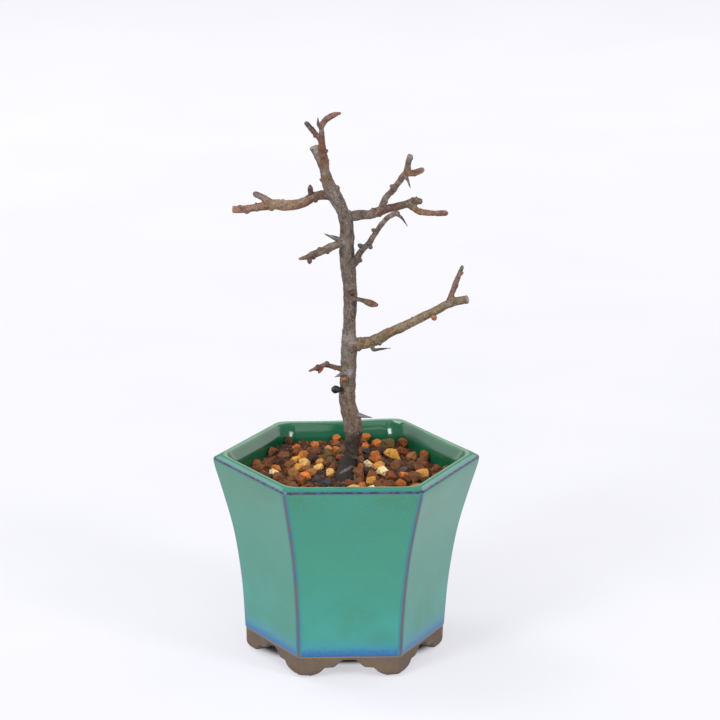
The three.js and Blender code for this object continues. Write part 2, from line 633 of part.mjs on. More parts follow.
const bonsai = new THREE.Group();
bonsai.name = "flowering_quince_bonsai";
bonsai.add(piece("pot", potGeometry(), 0x4f9a86, 0.25));
const net = piece("drain_net", netGeometry(), 0x1c1d1e, 0.6);
net.position.z = FLOOR_TOP + CLEARANCE;
bonsai.add(net);
bonsai.add(piece("soil", soilGeometry(), 0x7d4a2b, 0.95));
bonsai.add(piece("tree", treeGeometry(), 0x84776c, 0.85));

export default bonsai;
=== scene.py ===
# %% [markdown]
# # A leafless flowering quince in a glazed hexagonal pot
#
# The object is a small bonsai after leaf fall: a thin stem with short thorny branches, a bed of granular
# soil, and a stoneware pot with a green glaze. This lesson dresses a plain solid model of it, piece by
# piece. Each step first says what the piece is on the real object, and then builds it in millimetres and
# turns it into metres at the end.

# %% The frame
import json
import math

import bmesh
import bpy
import numpy as np
from mathutils import Matrix, Vector, noise

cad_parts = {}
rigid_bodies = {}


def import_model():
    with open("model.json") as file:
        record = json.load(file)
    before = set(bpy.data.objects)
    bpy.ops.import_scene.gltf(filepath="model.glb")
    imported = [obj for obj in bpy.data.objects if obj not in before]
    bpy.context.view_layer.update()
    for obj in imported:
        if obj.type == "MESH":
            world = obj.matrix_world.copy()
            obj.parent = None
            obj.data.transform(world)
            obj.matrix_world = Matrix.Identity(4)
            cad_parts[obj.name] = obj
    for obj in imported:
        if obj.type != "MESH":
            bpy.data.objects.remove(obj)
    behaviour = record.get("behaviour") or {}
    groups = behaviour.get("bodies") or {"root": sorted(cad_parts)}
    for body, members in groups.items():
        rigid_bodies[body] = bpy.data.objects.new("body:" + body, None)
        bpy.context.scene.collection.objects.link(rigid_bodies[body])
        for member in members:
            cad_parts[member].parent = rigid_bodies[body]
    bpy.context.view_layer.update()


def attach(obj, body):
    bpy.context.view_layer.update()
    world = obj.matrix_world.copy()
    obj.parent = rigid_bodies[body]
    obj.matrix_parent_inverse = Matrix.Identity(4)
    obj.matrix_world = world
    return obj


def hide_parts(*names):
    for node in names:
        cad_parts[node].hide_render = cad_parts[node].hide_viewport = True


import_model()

MM = 0.001

# %% [markdown]
# ## The camera
#
# The picture was taken from a little above the rim, from far enough away that the pot's sides hardly
# converge. These values were found by fitting a pinhole camera to the corners of the pot. The camera
# leans by two thirds of a degree.

# %% The camera
CAMERA_AZIMUTH = math.radians(-3.4985)
CAMERA_ELEVATION = math.radians(15.9057)
CAMERA_ROLL = math.radians(0.652)
CAMERA_DISTANCE = 1150
CAMERA_AIM = Vector((4.65, 0, 114.2))
CAMERA_NEAREST = 0.05
LENS = 153.89
SENSOR = 36


def add_camera():
    """A camera that looks at its aim from a distance, turned a little about its own axis."""
    flat = math.cos(CAMERA_ELEVATION)
    sine, cosine = math.sin(CAMERA_AZIMUTH), math.cos(CAMERA_AZIMUTH)
    back = Vector((sine * flat, -cosine * flat, math.sin(CAMERA_ELEVATION)))
    right = Vector((cosine, sine, 0))
    roll = Matrix.Rotation(CAMERA_ROLL, 3, back)
    turned = Matrix((roll @ right, roll @ back.cross(right), back)).transposed()
    data = bpy.data.cameras.new("camera")
    data.lens = LENS
    data.sensor_width = SENSOR
    data.clip_start = CAMERA_NEAREST
    camera = bpy.data.objects.new("camera", data)
    camera.matrix_world = Matrix.Translation((CAMERA_AIM + back * CAMERA_DISTANCE) * MM) @ turned.to_4x4()
    bpy.context.scene.collection.objects.link(camera)
    bpy.context.scene.camera = camera
    return camera


print("camera at", [round(v, 3) for v in add_camera().location], "m")

# %% [markdown]
# ## Helpers
#
# A few small functions serve every piece: random draws that come out the same each run, a smooth curve
# through a few chosen points, a mesh from points in millimetres, colours from their usual hex form, and
# one function that adds a node with its settings and links.

# %% Draws, curves and meshes
DRAW_FACTOR = 16807
DRAW_RANGE = 2147483647


def seeded_draw(seed):
    """A function that draws the same numbers from 0 to 1 each run."""
    state = [seed]

    def draw():
        state[0] = state[0] * DRAW_FACTOR % DRAW_RANGE
        return state[0] / DRAW_RANGE

    return draw


def span_point(rows, place):
    """A point on the smooth curve through rows, at a place counted in spans."""
    i = min(int(place), len(rows) - 2)
    t = place - i
    start, end = rows[i], rows[i + 1]
    before = rows[i - 1] if i > 0 else 2 * start - end
    after = rows[i + 2] if i + 2 < len(rows) else 2 * end - start
    gaps = [math.sqrt(np.linalg.norm((b - a)[:3])) for a, b in ((before, start), (start, end), (end, after))]
    lead = (start - before) / gaps[0] - (end - before) / (gaps[0] + gaps[1]) + (end - start) / gaps[1]
    tail = (end - start) / gaps[1] - (after - start) / (gaps[1] + gaps[2]) + (after - end) / gaps[2]
    lead, tail = lead * gaps[1], tail * gaps[1]
    square, cube = 3 * (end - start) - 2 * lead - tail, 2 * (start - end) + lead + tail
    return start + lead * t + square * t**2 + cube * t**3


def smooth_line(points, pitch):
    """Points about a pitch apart on the smooth curve through the given points."""
    rows = np.array(points, float)
    places = [0.0]
    for i in range(len(rows) - 1):
        count = max(1, round(np.linalg.norm((rows[i + 1] - rows[i])[:3]) / pitch))
        places += [i + (k + 1) / count for k in range(count)]
    return np.array([span_point(rows, place) for place in places])


def grid_faces(rings, columns, looped=False):
    """Faces between rings of the same number of columns. A looped grid joins its last ring to its first."""
    spans = rings if looped else rings - 1
    return [
        (i * columns + k, i * columns + (k + 1) % columns,
         (i + 1) % rings * columns + (k + 1) % columns, (i + 1) % rings * columns + k)
        for i in range(spans) for k in range(columns)
    ]


def mesh_of(name, points, faces, smooth=True):
    """A mesh from points in millimetres."""
    mesh = bpy.data.meshes.new(name)
    mesh.from_pydata((np.asarray(points, float) * MM).tolist(), [], faces)
    mesh.polygons.foreach_set("use_smooth", [smooth] * len(mesh.polygons))
    mesh.update()
    return mesh


def turn_outward(mesh):
    """Turns every face of a closed mesh outward."""
    form = bmesh.new()
    form.from_mesh(mesh)
    bmesh.ops.recalc_face_normals(form, faces=form.faces)
    form.to_mesh(mesh)
    form.free()


def place_piece(name, mesh, materials=()):
    """An object for a mesh, at the origin."""
    for material in materials:
        mesh.materials.append(material)
    piece = bpy.data.objects.new(name, mesh)
    bpy.context.scene.collection.objects.link(piece)
    return piece


def store(mesh, name, kind, values):
    """Writes one value for each vertex as an attribute that a material can read."""
    field = {"FLOAT": "value", "FLOAT_VECTOR": "vector", "FLOAT_COLOR": "color", "INT": "value"}[kind]
    attribute = mesh.attributes.new(name, kind, "POINT")
    number = np.int32 if kind == "INT" else np.float32
    attribute.data.foreach_set(field, np.asarray(values, number).ravel())


def vertices_of(mesh):
    """The vertices of a mesh in millimetres."""
    flat = np.zeros(len(mesh.vertices) * 3)
    mesh.vertices.foreach_get("co", flat)
    return flat.reshape(-1, 3) / MM


def finish_piece(piece, node):
    """The piece rides on the only body and takes the place of its solid."""
    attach(piece, "root")
    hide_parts(node)
    print(piece.name, len(piece.data.polygons), "faces")


# %% Colours and nodes
# The colours are chosen as they look in the picture. In this much light the glaze, the clay, the bark and the
# buds themselves are darker by this share.
STUDIO_SHARE = 0.33
BLACK = "000000"
OF_COLOURS = {"data_type": "RGBA"}


def linear(colour):
    """An sRGB colour such as 8A5530 as linear red, green, blue and alpha."""
    parts = [int(colour[i:i + 2], 16) / 255 for i in (0, 2, 4)]
    return (*[p / 12.92 if p <= 0.04045 else ((p + 0.055) / 1.055) ** 2.4 for p in parts], 1)


def set_stops(ramp, stops):
    """Gives a colour ramp its stops, each a place from 0 to 1 and a colour."""
    ramp.elements.remove(ramp.elements[1])
    for i, (place, colour) in enumerate(stops):
        stop = ramp.elements.new(place) if i else ramp.elements[0]
        stop.position = place
        stop.color = linear(colour)


def set_inputs(node, inputs):
    """Sets a node's inputs, each from a value, a hex colour, a socket, or a node's first output."""
    for name, value in inputs.items():
        socket = node.inputs[name]
        if isinstance(value, bpy.types.Node):
            value = value.outputs[0]
        if isinstance(value, bpy.types.NodeSocket):
            node.id_data.links.new(value, socket)
        else:
            socket.default_value = linear(value) if socket.type == "RGBA" else value


def add_node(tree, kind, settings=None, inputs=None):
    """Adds a node with its settings and its inputs."""
    node = tree.nodes.new(kind)
    for name, value in (settings or {}).items():
        if name == "stops":
            set_stops(node.color_ramp, value)
        elif name == "steps":
            node.color_ramp.interpolation = "CONSTANT"
        else:
            setattr(node, name, value)
    set_inputs(node, inputs or {})
    return node


def new_material(name, constants):
    """A material with its shader, whose constants are set on the shader's own sockets."""
    material = bpy.data.materials.new(name)
    material.use_nodes = True
    shader = material.node_tree.nodes["Principled BSDF"]
    set_inputs(shader, constants)
    return material, material.node_tree, shader


def in_millimetres(tree):
    """Object coordinates in millimetres, so that a noise scale of 1 is one lump to a millimetre."""
    place = add_node(tree, "ShaderNodeTexCoord").outputs["Object"]
    return add_node(tree, "ShaderNodeVectorMath", {"operation": "SCALE"}, {0: place, "Scale": 1 / MM})


def paint_where(tree, measure, start, full, under, over, most=1.0, how="SMOOTHSTEP"):
    """One colour that gives way to another while a measure goes from start to full."""
    share = add_node(tree, "ShaderNodeMapRange", {"interpolation_type": how},
                     {"Value": measure, "From Min": start, "From Max": full, "To Max": most})
    return add_node(tree, "ShaderNodeMix", OF_COLOURS, {0: share, 6: under, 7: over}).outputs[2]


def darken_by(tree, field, stops, most, colour):
    """A colour made darker by a field, whose values turn to tones by a ramp."""
    tone = add_node(tree, "ShaderNodeValToRGB", {"stops": stops}, {"Fac": field})
    return add_node(tree, "ShaderNodeMix", {**OF_COLOURS, "blend_type": "MULTIPLY"},
                    {0: most, 6: colour, 7: tone}).outputs[2]


def dress_shader(shader, colour, relief, strength, depth, darker=STUDIO_SHARE):
    """Gives a shader its colour, darkened by a share, and a relief whose depth is in millimetres."""
    tree = shader.id_data
    if darker:
        colour = add_node(tree, "ShaderNodeMix", OF_COLOURS, {0: darker, 6: colour, 7: BLACK}).outputs[2]
    bump = add_node(tree, "ShaderNodeBump", {},
                    {"Height": relief, "Strength": strength, "Distance": depth * MM})
    set_inputs(shader, {"Base Color": colour, "Normal": bump})


# %% [markdown]
# ## The pot's form
#
# The pot was pressed in a mould as one piece of stoneware. Its plan is a hexagon with small rounded
# corners, and its wall curves outward to a sharp outer edge. From there the lip slopes up and in, and
# then turns down inside in a broad bevel, below which the wall is a little thicker for a way. One grid
# makes all of it: every ring of the grid is a rounded hexagon with the same columns, and the rings run up
# the outside, over the lip, down the inside, across the floor, through the drain hole and back out to the
# feet. Such a grid is closed and has no seams.

# %% The pot's sizes
# How far the corner reaches from the middle, and at what height
WALL_CURVE = [(38.2, 8.6), (39.55, 28), (42.7, 48), (47, 64), (49.6, 72.4), (50.25, 75), (50.4, 76.2)]
INSIDE_THE_BOX = 0.06
WALL_THICKNESS = 4.4
SOLID_CORNER_ROUND = 3
CORNER_ROUND = 2.2
INNER_ROUND = 9.5
# How much thicker the wall is inside: height and swell
INNER_SWELL = [(58, 0), (61, 0.1), (64, 0.46), (66, 0.75), (68, 1.04), (70, 1.26), (71.6, 1.45)]
CAVITY_LEVELS = [17, 30, 48, 64, 74.2]
FLOOR_TOP = 14
UNDERSIDE = 8.8
DRAIN_RADIUS = 6
GLAZE_LINE = 8.7
RIM_HEIGHT = 76.2
FOOT_CORNER_RADIUS = 34
FOOT_EDGE_ROUND = 3.4
FOOT_INNER_APOTHEM = 26.4
COS_30 = math.cos(math.pi / 6)
TAN_30 = math.tan(math.pi / 6)


def apothem_of(corner_radius, rounding):
    """Apothem of a hexagon whose rounded corner reaches the given radius."""
    return (corner_radius - rounding) * COS_30 + rounding


WALL_PITCH = 1.3
wall_line = smooth_line(WALL_CURVE, WALL_PITCH)


def wall_apothem(z, rounding=CORNER_ROUND):
    """Apothem of the outer wall at a height."""
    return apothem_of(np.interp(z, wall_line[:, 1], wall_line[:, 0]) - INSIDE_THE_BOX, rounding)


def cavity_apothem(z):
    """Apothem of the cavity at a height, straight between its levels."""
    at_levels = [wall_apothem(level, SOLID_CORNER_ROUND) - WALL_THICKNESS for level in CAVITY_LEVELS]
    return np.interp(z, CAVITY_LEVELS, at_levels)


print("wall from", wall_apothem(GLAZE_LINE), "to", wall_apothem(RIM_HEIGHT), "mm apothem")

# %% [markdown]
# ## Columns and the cut arches
#
# Between each two feet a cloud-shaped arch is cut from the clay. Its height at a distance from the middle
# of the face is a simple outline, so the arches need no cutting here: the lower edge of each column just
# ends at that height. The columns stand close together where the outline is, so that its steps stay
# crisp.

# %% Columns and the cut arches
ARC_STEPS = 12
ARCH_HALF = 14.4
ARCH_COLUMNS = 61
OUTER_COLUMNS = [15.2, 16, 16.9]
STRAIGHT_HALF = (WALL_CURVE[0][0] - INSIDE_THE_BOX - CORNER_ROUND) / 2
# How high the arch is at a distance from the middle of the face
ARCH_OUTLINE = [
    (2.3, 7.1), (3.2, 6.6), (4.2, 5.6), (5.1, 4.7), (5.9, 4.2), (9.2, 4), (9.9, 3.3), (10.7, 2.4),
    (11.8, 1.6), (13, 0.95), (14.2, 0.4), (15.3, 0)]


def make_columns():
    """For each column its direction, its turn on a corner, and its distance from the middle of a face."""
    arch = np.linspace(-ARCH_HALF, ARCH_HALF, ARCH_COLUMNS)
    across = np.concatenate([[-x for x in reversed(OUTER_COLUMNS)], arch, OUTER_COLUMNS])
    turns = np.linspace(-math.pi / 6, math.pi / 6, ARC_STEPS + 1)
    direction, turn, x = [], [], []
    for corner in range(6):
        direction += [corner * math.pi / 3] * len(turns) + [(corner + 0.5) * math.pi / 3] * len(across)
        turn += [*turns, *[0] * len(across)]
        x += [*[np.nan] * len(turns), *across]
    return np.array(direction), np.array(turn), np.array(x)


column_direction, column_turn, column_x = make_columns()
on_corner = np.isnan(column_x)
arch_x, arch_z = zip(*ARCH_OUTLINE)
arch_height = np.where(on_corner, 0, np.interp(np.abs(np.nan_to_num(column_x)), arch_x, arch_z))
print(len(column_x), "columns, arches", arch_height.max(), "mm high")


def hex_ring(apothem, rounding, z, keep_arch=False):
    """One ring of points. Its apothem and height may differ from column to column."""
    apothem = np.broadcast_to(np.asarray(apothem, float), column_x.shape)
    straight = (apothem - rounding) * TAN_30
    x = np.nan_to_num(column_x) * straight / STRAIGHT_HALF
    if keep_arch:
        beyond = np.abs(column_x) - ARCH_HALF
        pushed = ARCH_HALF + beyond * (straight - ARCH_HALF) / (STRAIGHT_HALF - ARCH_HALF)
        x = np.where(np.abs(column_x) > ARCH_HALF, np.sign(column_x) * pushed, column_x)
    cos, sin = np.cos(column_direction), np.sin(column_direction)
    turned = column_direction + column_turn
    centre = (apothem - rounding) / COS_30
    px = np.where(on_corner, centre * cos + rounding * np.cos(turned), apothem * cos - x * sin)
    py = np.where(on_corner, centre * sin + rounding * np.sin(turned), apothem * sin + x * cos)
    return np.stack([px, py, np.broadcast_to(np.asarray(z, float), px.shape)], axis=1)


def round_ring(radius, z):
    """One ring on a circle, its columns at the same bearings as on the wall."""
    wall = hex_ring(wall_apothem(GLAZE_LINE), CORNER_ROUND, z)
    return np.stack([*(radius * wall[:, :2].T / np.linalg.norm(wall[:, :2], axis=1)), wall[:, 2]], axis=1)


# %% [markdown]
# ## The rings of the pot
#
# Beside each ring go the measures that the glaze needs later: how far a point is from the nearest upright
# corner and from the sharp edge of the rim, and how high it is above the clay. A glaze runs thin over a
# sharp edge, so these distances decide its colour. The wall is not perfectly flat: pressed clay warps a
# little as it dries and is fired.

# %% The rings of the pot
# How far inward of the wall, how high, and how round the corner is there
LIP_PROFILE = [
    (0.85, 76.88, 3.2), (1.25, 77.2, 3.9), (1.65, 77.46, 4.8), (2.1, 77.65, 6), (2.55, 77.76, 7.2),
    (3, 77.78, 8.4), (3.5, 77.68, 9), (4.05, 77.25, 9.3), (4.7, 76.4, 9.5), (5.25, 75.6, 9.5),
    (5.75, 74.8, 9.5), (6.2, 74, 9.5), (6.5, 73.2, 9.5)]
RIM_EDGE_ROUND = [
    (0.04, 75.85, 2.4), (0.05, 76.1, 2.5), (0.13, 76.34, 2.7), (0.3, 76.56, 2.9), (0.55, 76.73, 3)]
# The end of the glaze: how far inward of the wall, and how high above the glaze line
CLAY_STEP = [(0.0, 0.6), (0.02, 0.34), (0.08, 0.12), (0.18, 0.0), (0.26, -0.02)]
# The lower edge of the feet and arches: shares of its rounding, drawn in and up
QUARTER_ROUND = [(0.9, 0), (0.28, 0.28), (0, 0.9)]
ARCH_EDGE_ROUND = 0.55
FOOT_ROWS = (0.12, 0.25, 0.4, 0.55, 0.7, 0.84, 0.94)
BELOW_GLAZE = 0.1
STEP_ROOM = 1
EDGE_ROOM = 0.4
INNER_GREEN_FROM = 3
INNER_GREEN_OVER = 1.5
INNER_LEVELS = (71.6, 70, 68, 66, 64, 61, 58, 54, 48, 39, 30, 22, 17)
FLOOR_ROUND = [(0.4, 15.6), (1.3, 14.4), (3, FLOOR_TOP)]
HOLE_EDGE = 0.6
RECESS_SHARE = 0.6
RECESS_EDGE = 0.9
FOOT_INNER_ROUND = 1.2
FOOT_INNER_EDGE = 0.5
FOOT_INNER_ROWS = (0.9, 0.5, 0.1)
FOOT_INNER_LOWEST = 1
ABOVE_ARCH = 0.1
BELOW_RECESS = 0.05
FOOT_LEAN = 0.12
WARP = 0.14
WARP_SCALE = 1 / 19
RAISED_CORNER = math.radians(60)
RAISED_SPREAD = math.radians(24)
RAISED_ABOVE = 40
CORNER_RISE = 0.9
CORNER_DRAW = 1
GLAZED_DOWN_TO = 58
FAR = 99


def foot_apothem(z):
    """Apothem of the feet at a height: rounded in to the ground at the bottom."""
    ground = apothem_of(FOOT_CORNER_RADIUS - INSIDE_THE_BOX, CORNER_ROUND)
    neck = wall_apothem(GLAZE_LINE) - CLAY_STEP[-1][0] - FOOT_LEAN
    rise = np.sqrt(np.clip(1 - (1 - np.clip(z / FOOT_EDGE_ROUND, 0, 1)) ** 2, 0, 1))
    lean = np.clip((z - FOOT_EDGE_ROUND) / (GLAZE_LINE - FOOT_EDGE_ROUND), 0, 1)
    return ground + (neck - ground) * rise + FOOT_LEAN * lean**2


def pot_rings():
    """All rings in order. With each: is it glazed, its distance from the rim's edge, how far it is inside,
    and whether the distances from the corners and from the clay count there."""
    rings = []

    def add(points, glazed, from_rim=FAR, inside=0.0, outside=False, foot=False):
        rings.append((points, glazed, from_rim, inside, outside, outside or foot))

    # feet, from the ground or the arch up to the glaze line
    ease = np.minimum(ARCH_EDGE_ROUND, arch_height)
    bare = {"glazed": False}
    for out, up in QUARTER_ROUND:
        z = arch_height + ease * up
        add(hex_ring(foot_apothem(z) - ease * out, CORNER_ROUND, z, True), foot=True, **bare)
    low = arch_height + ease
    for share in FOOT_ROWS:
        z = low + (GLAZE_LINE - BELOW_GLAZE - low) * share
        add(hex_ring(foot_apothem(z), CORNER_ROUND, z, True), foot=True, **bare)
    for inward, up in reversed(CLAY_STEP):
        z = GLAZE_LINE + up
        apothem = wall_apothem(max(z, GLAZE_LINE)) - inward
        add(hex_ring(apothem, CORNER_ROUND, z), True, RIM_HEIGHT - z, 0, True)
    # glazed wall up to the sharp edge, then the lip
    for _, z in wall_line:
        if GLAZE_LINE + STEP_ROOM < z < RIM_HEIGHT - EDGE_ROOM:
            add(hex_ring(wall_apothem(z), CORNER_ROUND, z), True, RIM_HEIGHT - z, 0, True)
    rim = wall_apothem(RIM_HEIGHT)
    for inward, z, rounding in RIM_EDGE_ROUND + LIP_PROFILE:
        over = inward > RIM_EDGE_ROUND[1][0]
        inside = np.clip((inward - INNER_GREEN_FROM) / INNER_GREEN_OVER, 0, 1)
        add(hex_ring(rim - inward, rounding, z), True, -inward if over else RIM_HEIGHT - z, inside, not over)
    # inside, floor and drain hole
    for z in INNER_LEVELS:
        apothem = cavity_apothem(z) - np.interp(z, *zip(*INNER_SWELL))
        add(hex_ring(apothem, INNER_ROUND, z), z >= GLAZED_DOWN_TO, -FAR, 1.0)
    for inward, z in FLOOR_ROUND:
        add(hex_ring(cavity_apothem(CAVITY_LEVELS[0]) - inward, INNER_ROUND, z), **bare)
    for radius, z in ((DRAIN_RADIUS + HOLE_EDGE, FLOOR_TOP), (DRAIN_RADIUS, FLOOR_TOP - HOLE_EDGE),
                      (DRAIN_RADIUS, UNDERSIDE + HOLE_EDGE), (DRAIN_RADIUS + HOLE_EDGE, UNDERSIDE),
                      (FOOT_INNER_APOTHEM * RECESS_SHARE, UNDERSIDE)):
        add(round_ring(radius, z), **bare)
    # recess under the floor, and the inside of the feet, from just under the recess to just over the arch
    add(hex_ring(FOOT_INNER_APOTHEM - RECESS_EDGE, FOOT_INNER_ROUND, UNDERSIDE), **bare)
    lowest = np.maximum(arch_height + ABOVE_ARCH, FOOT_INNER_LOWEST)
    for share in FOOT_INNER_ROWS:
        z = lowest * (1 - share) + (UNDERSIDE - BELOW_RECESS) * share
        add(hex_ring(FOOT_INNER_APOTHEM, FOOT_INNER_ROUND, z, True), **bare)
    add(hex_ring(FOOT_INNER_APOTHEM + FOOT_INNER_EDGE, FOOT_INNER_ROUND, arch_height, True), **bare)
    return rings


rings = pot_rings()
print(len(rings), "rings of", len(column_x))

# %% One mesh from the rings
def warp(points):
    """Draws the wall in by up to the warp, in broad uneven patches, and lifts the raised corner."""
    drawn = np.array([0.5 + 0.5 * noise.noise(Vector(p * WARP_SCALE)) for p in points]) * WARP
    bearing = points[:, :2] / np.maximum(np.linalg.norm(points[:, :2], axis=1, keepdims=True), 1)
    points[:, :2] -= bearing * drawn[:, None]
    turned = (np.arctan2(points[:, 1], points[:, 0]) - RAISED_CORNER) / RAISED_SPREAD
    up = np.clip((points[:, 2] - RAISED_ABOVE) / (RIM_HEIGHT - RAISED_ABOVE), 0, 1)
    raised = np.exp(-turned**2) * up**2
    points[:, 0] -= CORNER_DRAW * raised
    points[:, 2] += CORNER_RISE * raised
    return points


def from_corner(apothem_straight):
    """Distance along the wall from the middle of the nearest corner, for each column."""
    reach = apothem_straight + CORNER_ROUND * math.pi / 6
    side = reach - np.abs(np.nan_to_num(column_x)) * apothem_straight / STRAIGHT_HALF
    return np.where(on_corner, CORNER_ROUND * np.abs(column_turn), side)


def make_pot(glaze, clay):
    """The pot as one closed mesh, with the measures that its glaze reads."""
    points = np.concatenate([ring[0] for ring in rings])
    columns = len(column_x)
    mesh = mesh_of("pot", points, grid_faces(len(rings), columns, looped=True))
    corner_row, rim_row, height_row, inside_row = [], [], [], []
    for ring_points, _, rim, inside, outside, lit in rings:
        straight = (np.linalg.norm(ring_points[ARC_STEPS] - ring_points[columns // 6])) / 2
        corner_row.append(from_corner(straight) if outside else np.full(columns, FAR))
        rim_row.append(np.full(columns, rim))
        height_row.append(ring_points[:, 2] - GLAZE_LINE if lit else np.full(columns, FAR))
        inside_row.append(np.full(columns, inside))
    for name, row in (("from_corner", corner_row), ("from_rim", rim_row), ("above_clay", height_row),
                      ("inside", inside_row)):
        store(mesh, name, "FLOAT", np.concatenate(row))
    warped = warp(points)
    mesh.vertices.foreach_set("co", (warped * MM).ravel())
    for material in (glaze, clay):
        mesh.materials.append(material)
    bare = [not (rings[i][1] and rings[(i + 1) % len(rings)][1]) for i in range(len(rings))]
    mesh.polygons.foreach_set("material_index", np.repeat(np.array(bare, np.int32), columns))
    turn_outward(mesh)
    return place_piece("hexagonal_pot", mesh)


# %% [markdown]
# ## The glaze
#
# The glaze is a copper green over dark stoneware, fired glossy. Where it lies thick it is green, where it
# thins out it breaks to blue, and on the sharp edges almost none is left, so the clay shows through as a
# grey or dark line. At the bottom it gathers to a blue band above the bare feet. The colour is worked out
# from the distances stored in the mesh, each blurred by noise, and a fine mottle of about a millimetre
# lies over everything.

# %% The glaze
def glaze_material():
    """Copper green glaze, glossy, thin on the edges."""
    material, tree, shader = new_material("copper_green_stoneware_glaze", {"IOR": 1.55})
    place = in_millimetres(tree)

    def measure(name, spread, scale):
        """A distance stored in the mesh, blurred by noise."""
        field = add_node(tree, "ShaderNodeAttribute", {"attribute_name": name}).outputs["Fac"]
        blur = add_node(tree, "ShaderNodeTexNoise", {}, {"Vector": place, "Scale": scale, "Detail": 3.0})
        shift = add_node(tree, "ShaderNodeMath", {"operation": "MULTIPLY_ADD"},
                         {0: blur, 1: spread, 2: -spread / 2})
        return add_node(tree, "ShaderNodeMath", {}, {0: field, 1: shift})

    corner = measure("from_corner", 0.5, 0.5)
    rim = measure("from_rim", 0.35, 0.6)
    height = measure("above_clay", 3.2, 1.0)

    def rim_band(low, full, still, high):
        """How far a place is in a band along the rim, from 0 to 1."""
        rise, fall = (add_node(tree, "ShaderNodeMapRange", {"interpolation_type": "SMOOTHSTEP"},
                               {"Value": rim, "From Min": start, "From Max": end})
                      for start, end in ((low, full), (high, still)))
        return add_node(tree, "ShaderNodeMath", {"operation": "MULTIPLY"}, {0: rise, 1: fall})

    broad = add_node(tree, "ShaderNodeTexNoise", {}, {"Vector": place, "Scale": 0.06, "Detail": 3.0})
    fine = add_node(tree, "ShaderNodeTexNoise", {},
                    {"Vector": place, "Scale": 1.3, "Detail": 4.0, "Roughness": 0.7})
    along = add_node(tree, "ShaderNodeTexNoise", {}, {"Vector": place, "Scale": 0.22, "Detail": 4.0})
    broken = add_node(tree, "ShaderNodeTexNoise", {}, {"Vector": place, "Scale": 0.42, "Detail": 3.0})
    inside = add_node(tree, "ShaderNodeAttribute", {"attribute_name": "inside"}).outputs["Fac"]

    # the wall: bluer below, greener above, uneven and mottled
    body = paint_where(tree, height, 6, 40, "359E97", "339279")
    body = paint_where(tree, height, 44, 64, body, "388464")
    body = paint_where(tree, broad, 0.35, 0.7, body, "328F7A")
    body = paint_where(tree, fine, 0.35, 0.85, body, "409680")
    # the lip and the inside, and the blue band above the feet
    on_lip = paint_where(tree, rim, -1.8, -3.2, body, "46845F")
    body = add_node(tree, "ShaderNodeMix", OF_COLOURS, {0: inside, 6: on_lip, 7: "0D5C3C"}).outputs[2]
    body = paint_where(tree, height, 1, 9, "3790A6", body)
    body = paint_where(tree, height, 0.3, 4.4, "1C68A4", body)
    # the upright corners: a blue fringe, and a line where the clay shows through
    fringe = paint_where(tree, corner, 0.55, 1.9, "2E7F92", body)
    bare_edge = paint_where(tree, along, 0.42, 0.58, "4E6272", "686056")
    upright = paint_where(tree, corner, 0.4, 0.75, bare_edge, fringe)
    # the rim: a blue fringe over it, a dark broken line on it, and further in a painted highlight along the
    # round inner edge of the lip
    above = paint_where(tree, rim, -1.7, -0.6, upright, "317C88")
    below = paint_where(tree, rim, 0.4, 0.9, above, upright)
    burnt = paint_where(tree, broken, 0.44, 0.56, "324A60", "161A2C")
    burnt = paint_where(tree, rim, -0.1, 0.2, burnt, "4A4240")
    edge = rim_band(-0.6, -0.4, 0.12, 0.36)
    edged = add_node(tree, "ShaderNodeMix", OF_COLOURS, {0: edge, 6: below, 7: burnt}).outputs[2]
    # painted highlight: a pale band where the round inner edge of the lip would mirror the light
    lip_highlight_band = rim_band(-3.9, -3.5, -2.9, -2.4)
    pale = add_node(tree, "ShaderNodeMath", {"operation": "MULTIPLY"}, {0: lip_highlight_band, 1: 0.5})
    colour = add_node(tree, "ShaderNodeMix", OF_COLOURS, {0: pale, 6: edged, 7: "A9CDB4"}).outputs[2]
    # nearly a mirror, duller inside and on the bare edges
    dull = add_node(tree, "ShaderNodeMapRange", {},
                    {"Value": broad, "From Min": 0.3, "From Max": 0.7, "To Min": 0.04, "To Max": 0.1})
    duller = add_node(tree, "ShaderNodeMath", {"operation": "MULTIPLY_ADD"}, {0: inside, 1: 0.07, 2: dull})
    dullest = add_node(tree, "ShaderNodeMath", {"operation": "MULTIPLY_ADD"}, {0: edge, 1: 0.25, 2: duller})
    set_inputs(shader, {"Roughness": dullest})
    dress_shader(shader, colour, fine, 0.08, 0.05)
    return material


# %% [markdown]
# ## The bare clay
#
# Below the glaze line the clay is unglazed: a brown stoneware with fine sand in it, matt and slightly
# rough. Its sand is a few tenths of a millimetre across, which the picture only just resolves. Right
# under the glaze runs a paler line, where the wax that kept the glaze off has burnt away.

